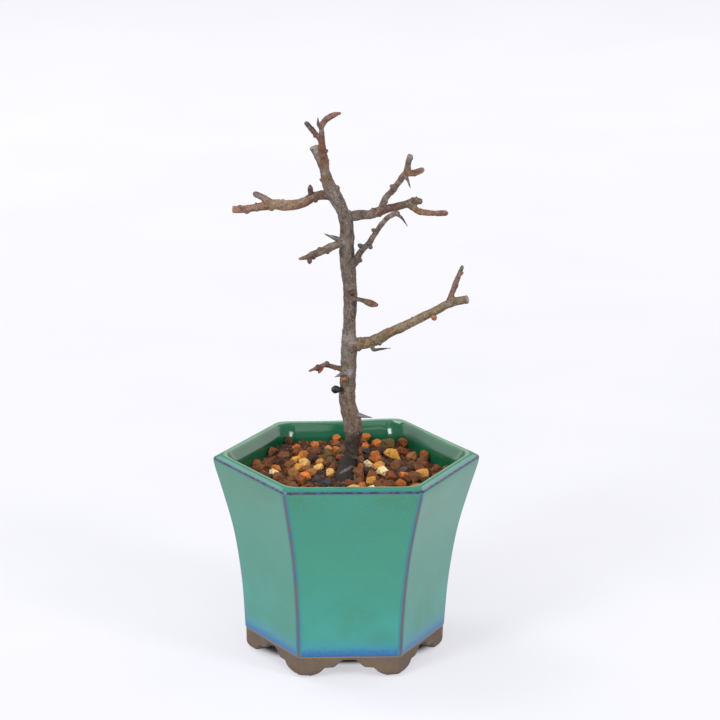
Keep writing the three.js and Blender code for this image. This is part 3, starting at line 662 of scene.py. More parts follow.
# %% The bare clay
def clay_material():
    """Fired brown stoneware, matt, with fine sand."""
    material, tree, shader = new_material("fired_brown_stoneware", {"IOR": 1.5, "Roughness": 0.82})
    place = in_millimetres(tree)
    broad = add_node(tree, "ShaderNodeTexNoise", {}, {"Vector": place, "Scale": 0.16, "Detail": 3.0})
    sand = add_node(tree, "ShaderNodeTexNoise", {},
                    {"Vector": place, "Scale": 2.2, "Detail": 4.0, "Roughness": 0.7})
    tone = add_node(tree, "ShaderNodeValToRGB", {"stops": [(0.3, "5B4A40"), (0.7, "745F4A")]}, {"Fac": broad})
    grit = add_node(tree, "ShaderNodeValToRGB",
                    {"stops": [(0.3, "4C3C30"), (0.5, "70604F"), (0.75, "927E6B")]}, {"Fac": sand})
    body = add_node(tree, "ShaderNodeMix", OF_COLOURS, {0: 0.4, 6: tone, 7: grit}).outputs[2]
    height = add_node(tree, "ShaderNodeAttribute", {"attribute_name": "above_clay"}).outputs["Fac"]
    near, clear = (
        add_node(tree, "ShaderNodeMapRange", {}, {"Value": height, "From Min": low, "From Max": high})
        for low, high in ((-0.7, -0.2), (0.5, 0.3)))
    line = add_node(tree, "ShaderNodeMath", {"operation": "MULTIPLY"}, {0: near, 1: clear})
    lined = add_node(tree, "ShaderNodeMix", OF_COLOURS, {0: line, 6: body, 7: "8F8378"}).outputs[2]
    dress_shader(shader, lined, sand, 0.5, 0.15)
    return material


pot = make_pot(glaze_material(), clay_material())
finish_piece(pot, "pot")

# %% [markdown]
# ## Geometry Nodes
#
# What repeats by a rule is grown by Geometry Nodes: the bars of the drain net, the grains of the soil and
# the crumbs between them, and the lenticels of the bark. Each tree has named inputs for its sizes. Its
# inputs are set by their identifiers before the object is first evaluated, and the result is kept as a
# plain mesh.

# %% Growing a mesh from a tree of nodes
def new_geometry_tree(name, sizes):
    """A tree with a geometry in and out and one named input for each size, and its inputs."""
    tree = bpy.data.node_groups.new(name, "GeometryNodeTree")
    tree.interface.new_socket("Geometry", in_out="INPUT", socket_type="NodeSocketGeometry")
    tree.interface.new_socket("Geometry", in_out="OUTPUT", socket_type="NodeSocketGeometry")
    for label, kind in sizes.items():
        tree.interface.new_socket(label, in_out="INPUT", socket_type=kind)
    return tree, tree.nodes.new("NodeGroupInput").outputs


def close_tree(tree, geometry, material):
    """Ends a tree in Realize Instances and Set Material."""
    real = add_node(tree, "GeometryNodeRealizeInstances", {}, {"Geometry": geometry})
    dressed = add_node(tree, "GeometryNodeSetMaterial", {}, {"Geometry": real, "Material": material})
    add_node(tree, "NodeGroupOutput", {}, {0: dressed})


def grown_mesh(carrier, tree, values):
    """Runs a tree on a mesh and returns the result as a plain mesh."""
    holder = bpy.data.objects.new("carrier", carrier)
    bpy.context.scene.collection.objects.link(holder)
    modifier = holder.modifiers.new(tree.name, "NODES")
    modifier.node_group = tree
    for item in tree.interface.items_tree:
        if item.in_out == "INPUT" and item.name in values:
            modifier[item.identifier] = values[item.name]
    graph = bpy.context.evaluated_depsgraph_get()
    mesh = bpy.data.meshes.new_from_object(holder.evaluated_get(graph))
    bpy.data.objects.remove(holder)
    return mesh


# %% [markdown]
# ## The drain net
#
# A square of black plastic net lies over the drain hole, under the soil. It shows only from below,
# through the hole. One round bar is a curve with a circle for its section. It is repeated on a row of
# points, and the whole row is repeated once more, turned by a quarter.

# %% The drain net
NET_SIDE = 21
NET_BAR = 1
NET_BARS = 5
BAR_SIDES = 10
CLEARANCE = 0.35


def net_material():
    """Extruded polyethylene net, with a waxy half gloss."""
    material, tree, shader = new_material("black_polyethylene_net", {"IOR": 1.51, "Roughness": 0.45})
    grain = add_node(tree, "ShaderNodeTexNoise", {},
                     {"Vector": in_millimetres(tree), "Scale": 1.5, "Detail": 3.0})
    tone = add_node(tree, "ShaderNodeValToRGB", {"stops": [(0.3, "141516"), (0.7, "232527")]}, {"Fac": grain})
    set_inputs(shader, {"Base Color": tone})
    return material


def net_tree(material):
    """Bars in two crossing rows."""
    tree, size = new_geometry_tree("drain_net_bars", {
        "Side": "NodeSocketFloat", "Bar": "NodeSocketFloat", "Bars": "NodeSocketInt"})
    reach = add_node(tree, "ShaderNodeMath", {"operation": "SUBTRACT"}, {0: size["Side"], 1: size["Bar"]})
    half = add_node(tree, "ShaderNodeMath", {"operation": "MULTIPLY"}, {0: size["Side"], 1: 0.5})
    back = add_node(tree, "ShaderNodeMath", {"operation": "MULTIPLY"}, {0: half, 1: -1.0})
    thick = add_node(tree, "ShaderNodeMath", {"operation": "MULTIPLY"}, {0: size["Bar"], 1: 0.5})
    start = add_node(tree, "ShaderNodeCombineXYZ", {}, {"X": back})
    end = add_node(tree, "ShaderNodeCombineXYZ", {}, {"X": half})
    spine = add_node(tree, "GeometryNodeCurvePrimitiveLine", {}, {"Start": start, "End": end})
    section = add_node(tree, "GeometryNodeCurvePrimitiveCircle", {},
                       {"Resolution": BAR_SIDES, "Radius": thick})
    bar = add_node(tree, "GeometryNodeCurveToMesh", {},
                   {"Curve": spine, "Profile Curve": section, "Fill Caps": True})
    gaps = add_node(tree, "ShaderNodeMath", {"operation": "SUBTRACT"}, {0: size["Bars"], 1: 1.0})
    pitch = add_node(tree, "ShaderNodeMath", {"operation": "DIVIDE"}, {0: reach, 1: gaps})
    first = add_node(tree, "ShaderNodeMath", {"operation": "MULTIPLY"}, {0: reach, 1: -0.5})
    row_start = add_node(tree, "ShaderNodeCombineXYZ", {}, {"Y": first})
    row_step = add_node(tree, "ShaderNodeCombineXYZ", {}, {"Y": pitch})
    row = add_node(tree, "GeometryNodeMeshLine", {},
                   {"Count": size["Bars"], "Start Location": row_start, "Offset": row_step})
    bars = add_node(tree, "GeometryNodeInstanceOnPoints", {}, {"Points": row, "Instance": bar})
    crossed = add_node(tree, "GeometryNodeTransform", {}, {"Geometry": bars, "Rotation": (0, 0, math.pi / 2)})
    both = add_node(tree, "GeometryNodeJoinGeometry", {}, {"Geometry": bars})
    set_inputs(both, {"Geometry": crossed})
    lifted = add_node(tree, "ShaderNodeMath", {}, {0: thick, 1: (FLOOR_TOP + CLEARANCE) * MM})
    lift = add_node(tree, "ShaderNodeCombineXYZ", {}, {"Z": lifted})
    placed = add_node(tree, "GeometryNodeTransform", {}, {"Geometry": both, "Translation": lift})
    close_tree(tree, placed, material)
    return tree


net_mesh = grown_mesh(mesh_of("net", [(0, 0, 0)], []), net_tree(net_material()),
                      {"Side": NET_SIDE * MM, "Bar": NET_BAR * MM, "Bars": NET_BARS})
net_mesh.polygons.foreach_set("use_smooth", [True] * len(net_mesh.polygons))
finish_piece(place_piece("drain_net_bars", net_mesh), "drain_net")

# %% [markdown]
# ## The soil
#
# The soil is a mix of fired and natural grains of 4 to 6 mm: red-brown akadama, orange and ochre kiryu,
# some cream pumice and grey lava. It rises in a low mound to the trunk. Under the grains lies a bed of
# broken bits, made as one closed body that fills the pot. Its brown is painted very dark, as the shade
# deep in the gaps between the grains.

# %% The soil's form
MOUND_TOP = 72.8
SOIL_EDGE = 69.4
MOUND_REACH = 23
SOIL_BACK_RISE = 2.6
BACK_RISE_FROM = 5
BACK_RISE_OVER = 33
BED_DEPTH = 0.8
BED_SINK = 0.5
BED_RINGS = 34
BED_LEVELS = (17, 24, 30, 39, 48, 56, 64)
BED_GAP = CLEARANCE + 0.05
CRUMB_RELIEF = 0.55
CRUMB_SCALE = 0.7
LEVEL_AT_WALL = 8


def soil_height(x, y):
    """Height of the soil at a place: a mound round the trunk, a little higher towards the back."""
    mound = SOIL_EDGE + (MOUND_TOP - SOIL_EDGE) * np.exp(-(x**2 + y**2) / MOUND_REACH**2)
    t = np.clip((y - BACK_RISE_FROM) / BACK_RISE_OVER, 0, 1)
    return mound + SOIL_BACK_RISE * t * t * (3 - 2 * t)


def bed_mesh():
    """The filled cavity, its top a crumbly mound that is level where it meets the wall."""
    low = cavity_apothem(CAVITY_LEVELS[0]) - FLOOR_ROUND[-1][0] - BED_GAP
    rounding = INNER_ROUND - BED_GAP
    rows = [hex_ring(low * share, rounding * share, FLOOR_TOP + BED_GAP) for share in (0.02, 1)]
    rows += [hex_ring(cavity_apothem(z) - BED_GAP, rounding, z) for z in BED_LEVELS]
    top = cavity_apothem(SOIL_EDGE - BED_DEPTH) - BED_GAP
    for share in np.linspace(1, 0.01, BED_RINGS):
        row = hex_ring(top * share, rounding * share, 0)
        crumbs = np.array([noise.noise(Vector((x * CRUMB_SCALE, y * CRUMB_SCALE, 5.0))) for x, y, _ in row])
        relief = CRUMB_RELIEF * crumbs * min(1, LEVEL_AT_WALL * (1 - share))
        row[:, 2] = soil_height(row[:, 0], row[:, 1]) - BED_DEPTH - BED_SINK + relief
        rows.append(row)
    columns = len(column_x)
    faces = grid_faces(len(rows), columns)
    faces.append(tuple(range(columns)))
    faces.append(tuple(range((len(rows) - 1) * columns, len(rows) * columns)))
    mesh = mesh_of("soil_bed", np.concatenate(rows), faces)
    turn_outward(mesh)
    return mesh


# %% [markdown]
# ## Where the grains lie
#
# The large grains are laid on a jittered triangular lattice by the same draws as in the solid model,
# after the few grains that catch the eye in the picture. Each of those has its place, its size and its
# colour.

# %% Where the grains lie
GRAIN_PITCH = 5.2
GRAIN_RADIUS = (2.3, 3.2)
GRAIN_SINK = 0.25
GRAIN_SEED = 20417
GRAIN_FIELD = 45
GRAIN_JITTER = 0.4
HIGH_SHARE = 0.16
HIGH_RISE = 1.2
CHOSEN_ROOM = 0.82
WALL_ROOM = 0.8
CORNER_LOSS = 1.6
FACE_BEARINGS = [(2 * face + 1) * math.pi / 6 for face in range(6)]

# Colours of the grains, and how often a grain that isn't chosen gets each
GRAIN_COLOURS = {
    "red_brown": ("643412", 0.19),
    "brown": ("704017", 0.2),
    "dark_brown": ("341C0D", 0.13),
    "fox": ("824414", 0.14),
    "orange": ("BC6622", 0.1),
    "bright_orange": ("DA7B2B", 0.03),
    "tan": ("90602E", 0.06),
    "ochre": ("CF9040", 0.04),
    "yellow": ("E6A848", 0.015),
    "cream": ("E2B468", 0.015),
    "pale_cream": ("F0DCA8", 0.01),
    "olive_brown": ("5A421E", 0.04),
    "lava_grey": ("36363C", 0.03),
}
# Grains that catch the eye: place, radius, rise and colour
CHOSEN_GRAINS = [
    (-15.7, 8.4, 3, 0.4, "cream"),
    (-10.4, 0.7, 2.2, 0.3, "cream"),
    (-6.4, -6, 2.2, 0.3, "cream"),
    (-5.7, 23.7, 2.1, 0.2, "ochre"),
    (13.2, -3.6, 2.9, 0.4, "pale_cream"),
    (18.9, 19.2, 3.5, 0.4, "yellow"),
    (9.6, 35.6, 2, 1.4, "orange"),
    (-2, 35.8, 2.2, 0.8, "orange"),
    (-10.6, 29.4, 2.7, 0, "orange"),
    (-17.6, 27.7, 2.2, 0, "orange"),
    (11.9, 17.9, 2.4, 0, "orange"),
    (8.6, 26.9, 2, 0.2, "orange"),
    (-16, -7.4, 2.3, 0.2, "bright_orange"),
    (-19.6, -3.8, 2.8, 0.2, "tan"),
    (21.1, -4.4, 2.1, 0, "bright_orange"),
    (19.2, -14.4, 2.4, 0, "orange"),
    (-26.1, 5.7, 2.2, 0, "orange"),
    (28.9, -1.2, 2.9, 0.2, "ochre"),
    (25.5, 9.3, 2.6, 0, "red_brown"),
    (18.1, 30.5, 3, 0.3, "olive_brown"),
    (-27, 24.1, 2.8, 0, "brown"),
    (-20.2, 34, 2.4, 0.6, "dark_brown"),
    (-32.6, 8.5, 2.6, 0, "brown"),
    (-11.3, -10.7, 2.6, 0, "lava_grey"),
    (-8.1, -15, 2.2, 0, "lava_grey"),
    (-22.9, 18.6, 3, 0, "brown"),
]

bounds_of_colours = np.cumsum([0] + [share for _, share in GRAIN_COLOURS.values()])
colour_bands = bounds_of_colours / bounds_of_colours[-1]


def tone_of(colour):
    """The number from 0 to 1 that stands for a grain's colour: the middle of the colour's band."""
    index = list(GRAIN_COLOURS).index(colour)
    return (colour_bands[index] + colour_bands[index + 1]) / 2


def room_to_wall(x, y):
    """Distance from a place to the nearest wall of the cavity at the height of the soil."""
    edge = cavity_apothem(SOIL_EDGE)
    along = [x * math.cos(bearing) + y * math.sin(bearing) for bearing in FACE_BEARINGS]
    return min(edge - max(along), edge / COS_30 - CORNER_LOSS - math.hypot(x, y))


def grain_places(draw):
    """x, y, radius, rise and tone of every large grain."""
    places = [(x, y, radius, rise, tone_of(colour)) for x, y, radius, rise, colour in CHOSEN_GRAINS]
    row_pitch = GRAIN_PITCH * math.sin(math.pi / 3)
    rows = math.ceil(GRAIN_FIELD / row_pitch)
    tones = seeded_draw(GRAIN_SEED + 1)
    for row in range(-rows, rows + 1):
        for column in range(-rows, rows + 1):
            x = (column + 0.5 * (row & 1) + GRAIN_JITTER * (draw() - 0.5)) * GRAIN_PITCH
            y = (row + GRAIN_JITTER * (draw() - 0.5)) * row_pitch
            radius = GRAIN_RADIUS[0] + (GRAIN_RADIUS[1] - GRAIN_RADIUS[0]) * draw()
            rise = HIGH_RISE if draw() < HIGH_SHARE else 0
            clear = all(math.hypot(other[0] - x, other[1] - y) > CHOSEN_ROOM * (other[2] + radius)
                        for other in places[:len(CHOSEN_GRAINS)])
            if clear and room_to_wall(x, y) > radius * WALL_ROOM:
                places.append((x, y, radius, rise, tones()))
    return places


places = grain_places(seeded_draw(GRAIN_SEED))
print(len(places), "large grains")

# %% [markdown]
# ## The shape of a grain
#
# Crushed and sieved, a grain has flat broken faces with worn edges. A convex hull round a few random
# points gives the broken faces, and a narrow bevel wears its edges. A dozen such shapes, turned and
# stretched at random, are enough for some two hundred grains. They are laid with Instance on Points,
# which picks a shape for each point and takes its size and turn from the point's attributes.

# %% The shape of a grain
GRAIN_SHAPES = 12
GRAIN_CORNERS = 12
GOLDEN_TURN = 2.4
TURN_SPREAD = 1.1
GRAIN_REACH = (0.76, 0.36)
FLAT_WITHIN = math.radians(14)
WORN_EDGE = 0.06
DENTED = 0.35
DENT = 0.12


def broken_grain(draw, corners, worn):
    """A lump about 1 in radius with broken faces. The larger ones have dents and worn edges."""
    form = bmesh.new()
    for i in range(corners):
        height = (2 * i + 1) / corners - 1
        turn = GOLDEN_TURN * i + TURN_SPREAD * draw()
        reach = GRAIN_REACH[0] + GRAIN_REACH[1] * draw()
        wide = math.sqrt(1 - height * height)
        form.verts.new(Vector((wide * math.cos(turn), wide * math.sin(turn), height)) * reach)
    hull = bmesh.ops.convex_hull(form, input=form.verts)
    bmesh.ops.delete(form, geom=hull["geom_interior"], context="VERTS")
    if worn:
        bmesh.ops.dissolve_limit(form, angle_limit=FLAT_WITHIN, verts=form.verts, edges=form.edges)
        bmesh.ops.poke(form, faces=[face for face in form.faces if draw() < DENTED], offset=-DENT)
        bmesh.ops.bevel(form, geom=form.edges[:], offset=WORN_EDGE, segments=1, affect="EDGES",
                        clamp_overlap=True)
    bmesh.ops.triangulate(form, faces=[face for face in form.faces if len(face.verts) > 4])
    mesh = bpy.data.meshes.new("grain_shape")
    form.to_mesh(mesh)
    form.free()
    return mesh


def shape_collection(count, corners, seed, worn):
    """A collection of grain shapes, outside the scene."""
    shapes = bpy.data.collections.new("grain_shapes")
    draw = seeded_draw(seed)
    for i in range(count):
        grain = bpy.data.objects.new(f"grain_shape_{i:02d}", broken_grain(draw, corners, worn))
        shapes.objects.link(grain)
    return shapes


def clear_collection(shapes):
    """Removes the shapes once their copies are real."""
    for shape in list(shapes.objects):
        bpy.data.objects.remove(shape)
    bpy.data.collections.remove(shapes)


# %% The grains' material
# Moves the pattern from grain to grain, in millimetres, so that no two grains share one
TONE_SPREAD = (91.0, 57.0, 33.0)


def grain_stops():
    """The colour bands of the grains as the stops of a stepped ramp."""
    return [(float(low), colour) for low, (colour, _) in zip(colour_bands, GRAIN_COLOURS.values())]


def grain_material():
    """Akadama, kiryu and pumice: fired or natural clay grains, dull and porous."""
    material, tree, shader = new_material("akadama_and_kiryu_grains", {"IOR": 1.45})
    tone = add_node(tree, "ShaderNodeAttribute", {"attribute_name": "grain_tone"}).outputs["Fac"]
    body = add_node(tree, "ShaderNodeValToRGB", {"stops": grain_stops(), "steps": True}, {"Fac": tone})
    own_place = add_node(tree, "ShaderNodeVectorMath", {"operation": "SCALE"},
                         {0: TONE_SPREAD, "Scale": tone})
    moved = add_node(tree, "ShaderNodeVectorMath", {}, {0: in_millimetres(tree), 1: own_place})
    patch = add_node(tree, "ShaderNodeTexNoise", {}, {"Vector": moved, "Scale": 0.35, "Detail": 3.0})
    pores = add_node(tree, "ShaderNodeTexNoise", {},
                     {"Vector": moved, "Scale": 1.5, "Detail": 5.0, "Roughness": 0.7})
    dusted = paint_where(tree, patch, 0.5, 0.75, body, "A9713F", 0.4, "LINEAR")
    colour = darken_by(tree, pores, [(0.3, "6E6A66"), (0.5, "D8D4D0"), (0.7, "FFFFFF")], 0.75, dusted)
    damp = add_node(tree, "ShaderNodeMapRange", {},
                    {"Value": patch, "From Min": 0.3, "From Max": 0.6, "To Min": 0.6, "To Max": 0.95})
    set_inputs(shader, {"Roughness": damp})
    dress_shader(shader, colour, pores, 0.8, 0.5, darker=0)
    return material


def bed_material():
    """Broken akadama between the grains, fine, its brown painted very dark as the shade deep in the gaps."""
    material, tree, shader = new_material("broken_akadama_in_painted_shade", {"IOR": 1.45, "Roughness": 0.9})
    crumbs = add_node(tree, "ShaderNodeTexNoise", {},
                      {"Vector": in_millimetres(tree), "Scale": 0.9, "Detail": 5.0})
    # very dark stops: painted shade in the gaps between the grains
    tone = add_node(tree, "ShaderNodeValToRGB",
                    {"stops": [(0.35, "170E09"), (0.55, "331D12"), (0.75, "55311C")]}, {"Fac": crumbs})
    dress_shader(shader, tone, crumbs, 0.8, 0.6, darker=0)
    return material


# %% [markdown]
# ## The tree's limbs
#
# The quince grew as one thing. Each limb is a line of chosen points with a radius, from inside what it
# grows from out to its tip, nearly the same as in the solid model. Quince wood zigzags a little at each
# bud, its thorns are short spurs, and its bark is grey-brown on the trunk and red-brown on the young
# shoots.

# %% The trunk and the roots
# Each point: x, y, height and radius
TRUNK = [
    (0.3, -1, 58.2, 2.6), (0.3, -1, 65.2, 3.3), (0.8, -1, 70.7, 3.1), (1.7, -0.4, 76.2, 2.85),
    (2.1, 0, 81.2, 2.75), (2.6, 0.2, 84.4, 3.1), (2.5, 0.3, 87.2, 3.5), (2, 0.4, 90.4, 3.45),
    (0.8, 0.8, 94.5, 3.2), (0, 1.3, 98.4, 3.05), (0.2, 1.7, 104.2, 2.95), (0.4, 2, 110.2, 2.9),
    (0.6, 2.2, 116.7, 3.05), (0.6, 2, 121.7, 2.8), (0.6, 1.7, 126.7, 2.35), (0.7, 1.2, 131.2, 2.4),
    (0.8, 0.8, 136.2, 2.55), (0.7, 0.3, 141.2, 2.6), (0.3, 0, 145.7, 2.65), (-0.2, -0.5, 150.7, 2.8),
    (-0.8, -0.9, 156.9, 2.8), (-0.7, -1, 161.7, 2.65), (-1.1, -0.8, 167.7, 2.6), (-2.9, 0, 172.4, 2.3),
    (-5.4, 0.8, 177, 2.7), (-7.6, 0.6, 181.2, 2.3), (-8.9, -0.3, 185.7, 1.95), (-9.6, -1.6, 191.2, 1.6),
    (-10.3, -3, 196.2, 1.35), (-10.5, -4.3, 200.7, 1.05), (-10.7, -5.5, 205.5, 0.8)]
ROOTS = [
    [(0.4, -1, 75.7, 2.5), (-0.6, -5, 73.1, 3.1), (-1.4, -10, 70.1, 3.5), (-2.1, -14, 65.7, 2.2)],
    [(0.5, 0, 73.7, 2.2), (3.5, 3, 71.3, 1.8), (6.1, 6.5, 68.2, 1.3)],
    [(0.1, 0, 73.7, 2.2), (-2.9, 3.4, 71.3, 1.8), (-5.9, 6, 68.2, 1.2)],
]
ROOTLETS = {
    "pale_rootlet": [
        (-3.2, -10.4, 72.9, 0.45), (-2.5, -11, 73.8, 0.5), (-0.6, -9.7, 74.2, 0.55),
        (1.9, -7, 74.8, 0.4)],
    "side_rootlet": [
        (2.3, -2.2, 76.6, 0.7), (4.3, -3.4, 76.6, 0.6), (5.9, -4.8, 75.5, 0.55), (6.8, -5.8, 73, 0.5)],
    "ochre_rootlet": [(2.5, -6.6, 74.7, 0.4), (3.1, -9, 72.6, 0.55), (2.4, -11, 70.3, 0.45)],
}

# %% The branches, twigs and thorns
BRANCHES = {
    "lower_right": [
        (1.3, 1, 119.7, 2.73), (4, -0.4, 120.7, 2.38), (7.5, -2.2, 121.6, 2.13), (11.2, -4, 123.5, 2.03),
        (15, -5.6, 126.3, 1.88), (19.5, -7.4, 128.8, 1.78), (26.3, -10, 133.1, 1.63),
        (32.3, -12.2, 136.8, 1.63), (36.8, -13.8, 139.7, 1.63), (43.1, -16, 141.8, 1.53)],
    "upper_left": [
        (-5.7, 0.8, 177.2, 2.13), (-8.6, 1.5, 177.1, 1.83), (-13, 3, 176, 1.78),
        (-16.6, 4.2, 173.6, 1.83), (-19.5, 5, 172.6, 1.88), (-23.8, 6, 172.2, 1.98),
        (-27.7, 7, 172.3, 1.83), (-31, 7.6, 171.4, 1.53), (-33.6, 8, 171, 1.38),
        (-37.6, 8.6, 170.2, 1.38), (-42.8, 9.6, 169.8, 1.38)],
    "upper_right": [
        (-2, -0.6, 168.8, 2.03), (3.6, 2.5, 169.2, 1.83), (8, 5, 168.9, 1.73), (11.7, 7, 169.5, 1.78),
        (14.6, 8.6, 170.1, 1.63), (18.3, 10.5, 170.5, 1.48), (22, 12.3, 171, 1.48),
        (25, 13.6, 171.8, 1.38), (27.9, 14.9, 171.4, 1.08)],
    "upright_shoot": [
        (12.1, 7.2, 169.2, 1.43), (12.7, 6.6, 171.8, 1.28), (14, 5.2, 175.4, 1.28),
        (16, 3.8, 177.9, 1.18), (17.9, 1.8, 181.2, 1.13), (19.9, -0.2, 184.5, 1.28),
        (21.1, -1.6, 186.6, 1.28), (21.3, -3.5, 189.9, 1.18), (21.9, -5.5, 193.3, 1.13)],
    "middle_right": [
        (0.1, -0.8, 150.7, 1.73), (2.4, -3, 152.7, 1.48), (3.4, -4.2, 155.5, 1.23),
        (5, -5.6, 158.4, 1.18), (7, -7, 160.6, 1.13), (8.3, -8.4, 163.4, 1.03), (11.3, -11, 168.8, 0.98),
        (13.2, -12.4, 171.5, 0.98), (15.2, -13.6, 173.2, 0.98), (16.9, -14.4, 173.8, 0.88)],
    "middle_left": [
        (-0.7, -1, 160.2, 1.83), (-4.3, -4, 159.7, 1.53), (-8.9, -7.6, 158.7, 1.43),
        (-11.8, -9.8, 158, 1.48), (-14.2, -11.6, 157.5, 1.38), (-16.1, -13, 157.1, 0.93),
        (-18.7, -14.8, 156.9, 0.53)],
}
TWIGS = {
    "high_fork": [(-27.9, 6.8, 172, 1.73), (-31.6, 8.8, 174.5, 1.28), (-34.3, 10, 175.5, 1.08)],
    "right_end": [
        (22.1, 12.4, 171.1, 1.48), (24.2, 12.8, 170.2, 1.33), (26.8, 13, 168.1, 1.23),
        (32.5, 12.8, 167.4, 1.08), (36.7, 12.4, 167.5, 1.08)],
    "shoot_spur": [
        (20.5, -1.4, 186.1, 1.23), (22.9, -0.4, 185.6, 1.33), (24.4, 0.2, 185.7, 1.23),
        (26.7, 1.4, 186.4, 1.08)],
    "lower_right_twig": [
        (36.3, -13.7, 139.4, 1.33), (36.7, -13.6, 141.2, 1.13), (38.7, -12.6, 146.6, 1.08),
        (41.2, -11.4, 152.8, 0.73)],
    "lower_left_twig": [
        (-0.5, 0.6, 110.2, 1.53), (-4.7, -2.6, 112.1, 0.98), (-8.8, -5.8, 114, 0.93),
        (-10.7, -7, 113.6, 0.83), (-14.7, -9.5, 112.8, 0.43)],
    "short_shoot": [
        (1.1, -0.4, 138.1, 1.13), (4.4, -3, 138.3, 0.83), (6, -4, 138, 1.08), (8.1, -5.4, 137.5, 1.43),
        (10, -6.4, 137.2, 0.88)],
    "top_right_shoot": [
        (-10.7, -5.3, 204.2, 1.03), (-9.5, -6.2, 206.4, 1.13), (-7.9, -7.6, 208.1, 1.2),
        (-6.1, -8.8, 209.2, 1), (-4.1, -10.1, 210, 0.48)],
    "top_left_shoot": [
        (-10.6, -3.8, 198.4, 1.13), (-11.8, -3, 199.9, 1.03), (-14.1, -1.5, 202.2, 0.98),
        (-15.9, -0.2, 204.2, 0.98)],
    "old_stub": [
        (-10.2, -1, 188, 1.2), (-11.4, -1.4, 191.6, 1.35), (-12.5, -1.8, 194.1, 1.6),
        (-13.3, -2, 196, 1.75)],
}
THORNS = [
    [(-10.7, -5, 203.2, 0.8), (-11.7, -4.5, 204.8, 0.7), (-11.9, -3, 206.9, 0.4)],
    [(20.2, -0.6, 185, 0.9), (21.3, -1.6, 183.4, 0.6), (22.2, -3.2, 180.8, 0.3)],
    [(16.3, -14.2, 173.6, 0.8), (18.2, -15.2, 172.4, 0.55), (20.4, -16.5, 169.5, 0.3)],
    [(-2.1, -2.2, 160.2, 1.3), (-5.7, -2.4, 161.8, 0.9), (-9.3, -1.6, 163.1, 0.4)],
    [(8.9, -3.2, 121.8, 1), (9.3, -4.4, 119.5, 0.75), (12, -5.6, 120, 0.5), (15.4, -7.1, 120.7, 0.25)],
    [(0.3, 1, 109.2, 1.3), (-2.3, -2, 109.3, 1), (-5, -3.9, 108.7, 0.5)],
    [(1.5, 0.8, 93, 1.3), (4.5, -1, 92.9, 1.05), (6.9, -2, 92.7, 0.8), (9.5, -2.9, 92.5, 0.55)],
    [(0.7, 1.5, 130.2, 0.9), (2.5, 5, 131.7, 0.55), (3.3, 8, 132, 0.3)],
]

# Worn knobs where leaves and shoots have been: share of the limb's length, bearing in the picture, radius
# and reach
KNOBS = {
    "upper_left": [
        (0.2, 270, 0.9, 1.5), (0.38, 95, 0.55, 1.6), (0.5, 265, 0.7, 1.4), (0.64, 270, 1.1, 1.4),
        (0.78, 260, 0.6, 1.2), (0.87, 270, 0.95, 1.1), (0.93, 100, 0.75, 1.3)],
    "upper_right": [
        (0.1, 80, 0.8, 1.3), (0.38, 95, 0.7, 1.9), (0.46, 300, 0.9, 1.3), (0.52, 80, 1.1, 0.9),
        (0.68, 265, 0.7, 1.2), (0.9, 95, 0.8, 1.1)],
    "upright_shoot": [
        (0.16, 330, 0.7, 1), (0.43, 150, 0.8, 1.5), (0.6, 190, 0.85, 0.9), (0.68, 330, 0.75, 0.9),
        (0.77, 200, 0.8, 0.9), (0.98, 0, 0.6, 0.8)],
    "middle_right": [
        (0.17, 350, 0.85, 1.4), (0.34, 130, 0.9, 1.9), (0.42, 325, 0.9, 1.35), (0.64, 125, 0.8, 1.5),
        (0.5, 300, 0.5, 0.9)],
    "middle_left": [(0.45, 270, 0.95, 1.2), (0.62, 100, 0.7, 1.1), (0.75, 260, 0.9, 1)],
    "lower_right": [
        (0.06, 250, 1.2, 1.9), (0.09, 95, 1, 1.8), (0.86, 100, 0.8, 1.1), (0.62, 100, 0.6, 1.3)],
    "lower_right_twig": [(0.5, 350, 0.65, 0.8), (0.72, 170, 0.6, 0.7)],
    "lower_left_twig": [
        (0.3, 260, 0.6, 0.7), (0.55, 95, 1, 0.6), (0.8, 80, 0.95, 0.5), (0.82, 240, 0.7, 0.7)],
    "top_left_shoot": [(0.4, 200, 0.7, 0.7), (0.68, 20, 0.6, 0.7), (0.9, 220, 0.7, 0.3)],
    "top_right_shoot": [(0.42, 330, 0.6, 0.6)],
    "right_end": [
        (0.22, 240, 0.8, 0.9), (0.45, 90, 0.7, 0.6), (0.72, 270, 0.6, 0.6), (0.97, 90, 0.7, 0.3)],
    "shoot_spur": [(0.35, 90, 0.85, 0.6), (0.6, 270, 0.8, 0.6), (0.92, 80, 0.7, 0.3)],
    "high_fork": [(0.7, 100, 0.8, 0.5)],
    "trunk": [
        (0.45, 180, 1.2, 1.8), (0.54, 185, 0.8, 2.2), (0.75, 350, 1, 2), (0.82, 5, 1.5, 1.9),
        (0.9, 350, 0.8, 1.4)],
}

# %% [markdown]
# ## Colours of the bark
#
# The bark changes along each limb, from the grey of old wood to the red-brown of last year's growth. Each
# limb has a few colours from its root to its tip, given at shares of its length. The trunk's own colours
# are given at heights: the lowest part is dark from the damp soil.

